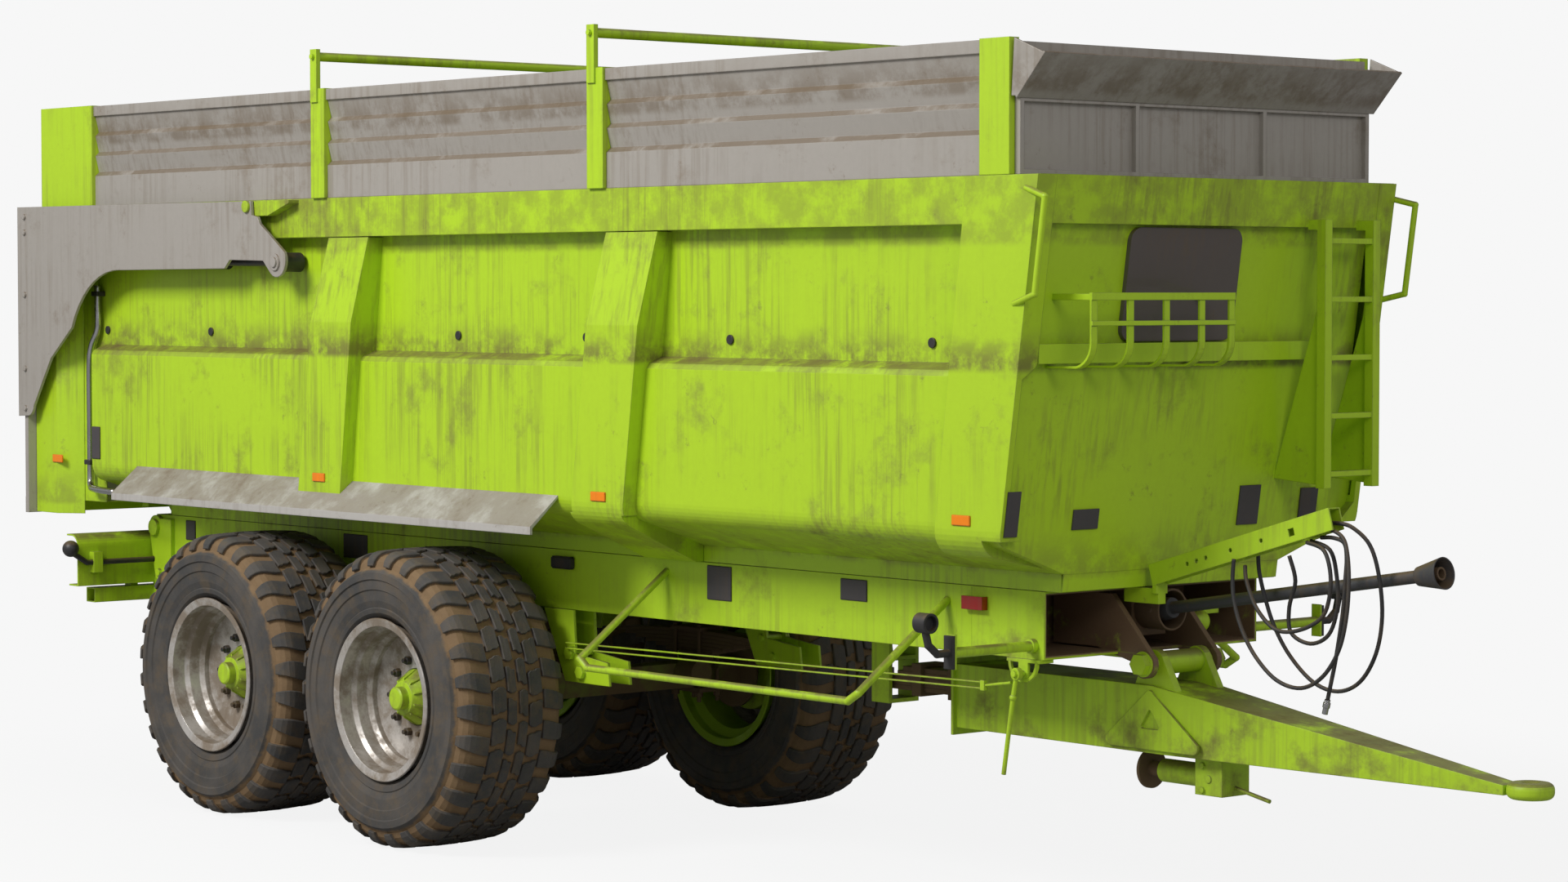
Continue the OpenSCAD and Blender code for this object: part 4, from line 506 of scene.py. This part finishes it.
def tyre_mesh(sides=120):
    bm = bmesh.new()
    groove = bm.verts.layers.float.new("groove")
    profile = carcass()
    rings = []
    for k in range(sides):
        a = 2 * math.pi * k / sides
        ring = []
        for y, r in profile:
            v = bm.verts.new((r * math.sin(a), y, r * math.cos(a)))
            v[groove] = 1.0 if abs(y) < 0.27 and r > 0.58 else 0.35
            ring.append(v)
        rings.append(ring)
    for k in range(sides):
        a, b = rings[k], rings[(k + 1) % sides]
        for i in range(len(profile) - 1):
            bm.faces.new((a[i], a[i + 1], b[i + 1], b[i]))
    return from_bmesh("carcass", bm)


def add_block(bm, groove, stations):
    """A raised block. Each station is (t, start, end): t across, start and end round the tyre."""
    levels = []
    for inset, sink, value in ((0.0, TREAD + 0.006, 1.0), (0.0, 0.0035, 0.35), (0.0032, 0.0, 0.0)):
        ring = []
        last = len(stations) - 1
        for side in (0, 1):
            order = range(last + 1) if side == 0 else range(last, -1, -1)
            for i in order:
                t, s0, s1 = stations[i]
                s = s0 + inset if side == 0 else s1 - inset
                if i == 0:
                    t += inset * (1 if stations[1][0] > stations[0][0] else -1)
                if i == last:
                    t -= inset * (1 if stations[1][0] > stations[0][0] else -1)
                across, radius, turn = tread_point(t)
                across -= sink * math.sin(turn)
                radius -= sink * math.cos(turn)
                a = s / TYRE_R
                v = bm.verts.new((radius * math.sin(a), across, radius * math.cos(a)))
                v[groove] = value
                ring.append(v)
        levels.append(ring)
    count = len(levels[0])
    for a, b in zip(levels, levels[1:]):
        for k in range(count):
            bm.faces.new((a[k], a[(k + 1) % count], b[(k + 1) % count], b[k]))
    half = count // 2
    top = levels[-1]
    for k in range(half - 1):
        bm.faces.new((top[k], top[k + 1], top[count - 2 - k], top[count - 1 - k]))


def tread_pitch():
    bm = bmesh.new()
    groove = bm.verts.layers.float.new("groove")
    lug = [(0.142, -0.052, 0.030), (0.165, -0.050, 0.034), (0.19, -0.044, 0.040), (0.215, -0.036, 0.044),
           (0.24, -0.028, 0.046), (0.265, -0.022, 0.044), (0.29, -0.018, 0.040), (0.315, -0.014, 0.034)]
    middle = [(0.062, 0.012, 0.100), (0.078, 0.002, 0.112), (0.100, 0.002, 0.112), (0.112, -0.006, 0.104),
              (0.132, -0.006, 0.098)]
    centre = [(0.008, -0.050, 0.046), (0.024, -0.058, 0.046), (0.036, -0.058, 0.060), (0.053, -0.048, 0.060)]
    for shape in (lug, middle, centre):
        add_block(bm, groove, shape)
        add_block(bm, groove, [(-t, -b + 0.035, -a + 0.035) for t, a, b in shape])
    return from_bmesh("tread pitch", bm)


# %% [markdown]
# ### Geometry Nodes that repeat a piece round an axle
# The group takes the piece, how often it repeats and the material, and turns each copy about Y.

# %% Ring group
ring = bpy.data.node_groups.new("Repeat round Y", "GeometryNodeTree")
ring.interface.new_socket("Geometry", in_out="INPUT", socket_type="NodeSocketGeometry")
for label, kind in (("Piece", "NodeSocketObject"), ("Count", "NodeSocketInt"),
                    ("Material", "NodeSocketMaterial")):
    ring.interface.new_socket(label, in_out="INPUT", socket_type=kind)
ring.interface.new_socket("Geometry", in_out="OUTPUT", socket_type="NodeSocketGeometry")
r_in, r_out = ring.nodes.new("NodeGroupInput"), ring.nodes.new("NodeGroupOutput")
points = add(ring, "GeometryNodePoints", {"Count": r_in.outputs["Count"]})
info = add(ring, "GeometryNodeObjectInfo", {"Object": r_in.outputs["Piece"]})
step = add(ring, "ShaderNodeMath", {0: 2 * math.pi, 1: r_in.outputs["Count"]}, operation="DIVIDE")
angle = add(ring, "ShaderNodeMath", {0: add(ring, "GeometryNodeInputIndex").outputs[0], 1: step.outputs[0]},
            operation="MULTIPLY")
turn = add(ring, "ShaderNodeCombineXYZ", {"Y": angle.outputs[0]})
copies = add(ring, "GeometryNodeInstanceOnPoints",
             {"Points": points.outputs[0], "Instance": info.outputs["Geometry"], "Rotation": turn.outputs[0]})
real = add(ring, "GeometryNodeRealizeInstances", {0: copies.outputs[0]})
joined = ring.nodes.new("GeometryNodeJoinGeometry")
ring.links.new(real.outputs[0], joined.inputs[0])
ring.links.new(r_in.outputs["Geometry"], joined.inputs[0])
coated = add(ring, "GeometryNodeSetMaterial",
             {"Geometry": joined.outputs[0], "Material": r_in.outputs["Material"]})
ring.links.new(coated.outputs[0], r_out.inputs[0])


def run_group(group, mesh, values):
    """The mesh that a Geometry Nodes group makes from a mesh, its inputs set by name."""
    holder = bpy.data.objects.new("holder", mesh)
    scene.collection.objects.link(holder)
    modifier = holder.modifiers.new("nodes", "NODES")
    modifier.node_group = group
    ids = {i.name: i.identifier for i in group.interface.items_tree if i.in_out == "INPUT"}
    for label, value in values.items():
        modifier[ids[label]] = value
    bpy.context.view_layer.update()
    evaluated = holder.evaluated_get(bpy.context.evaluated_depsgraph_get())
    result = bpy.data.meshes.new_from_object(evaluated)
    bpy.data.objects.remove(holder)
    return result


# %% [markdown]
# ### Tyre rubber
# Worn block tops are dark grey. Grooves hold brown mud and the sidewall a film of dust.

# %% Tyre material
tyre_skin = bpy.data.materials.new("tyre rubber")
tyre_skin.use_nodes = True
tt = tyre_skin.node_tree
tt.nodes.clear()
at = add(tt, "ShaderNodeTexCoord").outputs["Object"]
deep = add(tt, "ShaderNodeAttribute", attribute_name="groove").outputs["Fac"]
rough_noise = noise(tt, at, 14, 8, 0.65)
wide_noise = noise(tt, at, 3.2, 5, 0.6)
rubber_colour = mix(tt, remap(tt, wide_noise, 0.35, 0.65), rgb(62, 61, 60), rgb(84, 79, 74))
film = mix(tt, times(tt, remap(tt, rough_noise, 0.42, 0.7), 0.5), rubber_colour, rgb(100, 84, 62))
uneven = times(tt, math_node(tt, "SUBTRACT", rough_noise, 0.5), 0.9)
packed = math_node(tt, "ADD", deep, uneven)
caked = remap(tt, packed, 0.5, 0.85)
tyre_colour = mix(tt, caked, film, mix(tt, rough_noise, rgb(104, 82, 56), rgb(134, 108, 76)))
rubber_grain = noise(tt, at, 90, 6, 0.7)
tyre_bump = add(tt, "ShaderNodeBump", {"Height": rubber_grain, "Strength": 0.35, "Distance": 0.004})
tyre_shader = add(tt, "ShaderNodeBsdfPrincipled", {"Base Color": tyre_colour, "Roughness": 0.82,
                                                   "Normal": tyre_bump.outputs["Normal"]})
tt.links.new(tyre_shader.outputs[0], tt.nodes.new("ShaderNodeOutputMaterial").inputs[0])

# %% Four tyres
PITCHES = 30
FRONT_SPIN, REAR_SPIN = 0.07, 0.16


def wheel_centre(corner):
    low_corner, high_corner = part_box("tyre_" + corner)
    return (low_corner + high_corner) / 2


pitch = bpy.data.objects.new("pitch", tread_pitch())
one_tyre = run_group(ring, tyre_mesh(), {"Piece": pitch, "Count": PITCHES, "Material": tyre_skin})
bpy.data.objects.remove(pitch)
print("tyre:", len(one_tyre.polygons), "faces")
for corner in ("fl", "fr", "rl", "rr"):
    mid_c = wheel_centre(corner)
    mesh = one_tyre.copy()
    spin = FRONT_SPIN if corner[0] == "f" else REAR_SPIN
    for v in mesh.vertices:
        x, z = v.co.x, v.co.z
        y = v.co.y if corner[1] == "r" else -v.co.y
        v.co = (x * math.cos(spin) + z * math.sin(spin) + mid_c.x, y + mid_c.y,
                z * math.cos(spin) - x * math.sin(spin) + mid_c.z)
    if corner[1] == "l":
        mesh.flip_normals()
    tyre = piece("tyre_" + corner + "_tread", mesh, "wheel_" + corner, tyre_skin)
    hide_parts("tyre_" + corner)

# %% [markdown]
# ### Wheel nuts
# Ten dark nuts with the stud ends hold each rim. One nut is made at the top of the bolt circle and
# the same Geometry Nodes group repeats it.

# %% Wheel nuts
BOLT_CIRCLE, NUT_IN, NUT_OUT, NUT_R, STUD_R, NUTS = 0.1675, 0.0735, 0.097, 0.0192, 0.0105, 10
bm = bmesh.new()
tube_along(bm, [(BOLT_CIRCLE, -NUT_IN, 0), (BOLT_CIRCLE, -NUT_OUT, 0)], NUT_R, 6)
tube_along(bm, [(BOLT_CIRCLE, -NUT_OUT + 0.002, 0), (BOLT_CIRCLE, -NUT_OUT - 0.016, 0)], STUD_R, 12)
nut = bpy.data.objects.new("nut", from_bmesh("nut", bm))
nut_ring = run_group(ring, bpy.data.meshes.new("empty"),
                     {"Piece": nut, "Count": NUTS, "Material": paint["black"]})
bpy.data.objects.remove(nut)
for corner in ("fl", "fr", "rl", "rr"):
    mid_c = wheel_centre(corner)
    side_sign = 1 if corner[1] == "r" else -1
    mesh = nut_ring.copy()
    for v in mesh.vertices:
        v.co = (side_sign * v.co.x + mid_c.x, side_sign * v.co.y + mid_c.y, v.co.z + mid_c.z)
    piece("wheel_nuts_" + corner, mesh, "wheel_" + corner, paint["black"])

# %% [markdown]
# ## Small fittings
# Dark pads, orange reflectors, plugs in the side wall and a bright drain pipe on each side. Each row
# of boxes lies just outside the CAD face that carries it.

# %% Pads, reflectors and plugs
def box_piece(name, body, material, spans, bevel=0.002):
    bm = bmesh.new()
    for low_b, high_b in spans:
        add_box(bm, low_b, high_b, bevel=bevel)
    return piece(name, from_bmesh(name, bm), body, material)


both = (-1, 1)
TUB_SIDE, RAIL_SIDE, RIB_FACE, POST_FACE = 0.9849, 0.596, 1.049, 0.999


def side_spans(rows, y_in, y_out):
    """Boxes on both sides from (x0, x1, z0, z1) rows."""
    return [((x0, min(s * y_in, s * y_out), z0), (x1, max(s * y_in, s * y_out), z1))
            for s in both for x0, x1, z0, z1 in rows]


box_piece("tub_pads", "tub_body", paint["pad"],
          side_spans([(-3.86, -3.78, 1.625, 1.788)], TUB_SIDE, TUB_SIDE + 0.006))
box_piece("chassis_pads", "chassis", paint["pad"],
          side_spans([(0.57, 0.73, 1.172, 1.317), (1.42, 1.58, 1.225, 1.312), (-2.17, -1.97, 1.20, 1.314),
                      (-3.60, -3.51, 1.21, 1.31)], RAIL_SIDE, RAIL_SIDE + 0.006))
box_piece("chassis_marker", "chassis", paint["rubber"],
          side_spans([(-0.49, -0.35, 1.245, 1.30)], RAIL_SIDE, RAIL_SIDE + 0.034), 0.006)
box_piece("reflectors_ribs", "tub_body", paint["orange"],
          side_spans([(-1.745, -1.645, 1.595, 1.635), (0.355, 0.455, 1.595, 1.635)],
                     RIB_FACE, RIB_FACE + 0.007)
          + side_spans([(-4.23, -4.13, 1.595, 1.635), (2.505, 2.605, 1.595, 1.635)],
                       POST_FACE, POST_FACE + 0.007))

FRONT_TOP_X, RAIL_TOP, LEAN = 2.9575, 2.9, 0.145
bm = bmesh.new()
for y0, y1, z0, z1 in ((-0.985, -0.92, 1.56, 1.73), (-0.59, -0.455, 1.57, 1.647),
                       (0.326, 0.443, 1.552, 1.708), (0.685, 0.786, 1.557, 1.686)):
    out = 0.002 if y0 < -0.9 else -0.040
    corners = []
    for depth in (0.0, 0.008):
        for y, z in ((y0, z0), (y1, z0), (y1, z1), (y0, z1)):
            corners.append(bm.verts.new((FRONT_TOP_X - LEAN * (RAIL_TOP - z) + out - 0.003 + depth, y, z)))
    for loop in ((0, 1, 2, 3), (4, 5, 6, 7), (0, 1, 5, 4), (1, 2, 6, 5), (2, 3, 7, 6), (3, 0, 4, 7)):
        bm.faces.new([corners[k] for k in loop])
piece("front_pads", from_bmesh("front_pads", bm), "tub_body", paint["pad"])

bm = bmesh.new()
for x in (-3.83, -2.85, -0.79, 0.14, 1.095, 2.295):
    for s in both:
        tube_along(bm, [(x, s * 0.902, 2.275), (x, s * 0.913, 2.275)], 0.020, 20)
piece("wall_plugs", from_bmesh("wall_plugs", bm), "tub_body", paint["black"])

bm = bmesh.new()
for s in both:
    line = smooth_path([(-3.886, s * 0.935, 2.50), (-3.886, s * 0.935, 2.40), (-3.886, s * 0.935, 2.28),
                        (-3.935, s * 0.94, 2.20), (-3.96, s * 0.94, 2.10), (-3.96, s * 0.94, 1.80),
                        (-3.96, s * 0.94, 1.55), (-3.94, s * 0.95, 1.485), (-3.87, s * 0.97, 1.47),
                        (-3.62, s * 1.0, 1.465)], 6)
    tube_along(bm, line, 0.017, 14)
piece("drain_pipes", from_bmesh("drain_pipes", bm), "tub_body", paint["steel"], smooth=True)
box_piece("drain_clamps", "tub_body", paint["black"],
          side_spans([(-3.914, -3.858, 2.445, 2.470)], 0.906, 0.956)
          + side_spans([(-3.988, -3.932, 1.59, 1.615)], 0.906, 0.961))
print("small fittings made")

# %% [markdown]
# ## Hoses
# Each hose follows the CAD route as a smooth tube. Its length is measured along the route. One hangs
# free and ends in a coupling, and the others are looped back into the channel.

# %% Hoses
HOSE_R = 0.0078
routes = {
    "hose_1": [(3.18, -0.185, 1.467), (3.18, -0.192, 1.395), (3.2, -0.206, 1.315), (3.25, -0.22, 1.215),
               (3.33, -0.23, 1.115), (3.44, -0.235, 1.035), (3.56, -0.235, 1.015), (3.66, -0.23, 1.065),
               (3.73, -0.224, 1.165), (3.76, -0.218, 1.285), (3.76, -0.205, 1.415), (3.735, -0.185, 1.515),
               (3.695, -0.165, 1.572), (3.63, -0.154, 1.597), (3.57, -0.15, 1.592)],
    "hose_2": [(3.22, -0.095, 1.479), (3.22, -0.088, 1.415), (3.235, -0.074, 1.325), (3.27, -0.06, 1.215),
               (3.34, -0.048, 1.105), (3.45, -0.042, 1.015), (3.57, -0.042, 0.99), (3.68, -0.046, 1.035),
               (3.76, -0.052, 1.145), (3.795, -0.06, 1.285), (3.79, -0.074, 1.435), (3.76, -0.09, 1.545),
               (3.7, -0.114, 1.606), (3.64, -0.126, 1.621), (3.57, -0.13, 1.616)],
    "hose_3": [(3.57, -0.14, 1.565), (3.63, -0.14, 1.567), (3.685, -0.144, 1.55), (3.705, -0.154, 1.495),
               (3.71, -0.167, 1.415), (3.71, -0.177, 1.315), (3.695, -0.179, 1.215), (3.675, -0.179, 1.115),
               (3.655, -0.179, 1.035), (3.64, -0.179, 0.975)],
    "hose_4": [(3.415, -0.14, 1.49), (3.43, -0.122, 1.395), (3.39, -0.11, 1.295), (3.395, -0.105, 1.2),
               (3.485, -0.1, 1.165), (3.575, -0.1, 1.205), (3.62, -0.105, 1.31), (3.62, -0.11, 1.425),
               (3.6, -0.125, 1.52), (3.515, -0.135, 1.55)],
    "hose_5": [(3.205, -0.15, 1.44), (3.24, -0.18, 1.385), (3.305, -0.2, 1.295), (3.395, -0.208, 1.225),
               (3.48, -0.208, 1.215), (3.58, -0.205, 1.245), (3.645, -0.2, 1.3), (3.67, -0.2, 1.415),
               (3.63, -0.19, 1.52), (3.515, -0.155, 1.545)],
}
for name, route in routes.items():
    line = smooth_path(route, 6)
    bm = bmesh.new()
    tube_along(bm, line, HOSE_R, 14)
    hose = piece(name + "_tube", from_bmesh(name, bm), "chassis", paint["rubber"],
                 smooth=True)
    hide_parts(name)
    print(name, "is", round(length_of(line), 2), "m long")
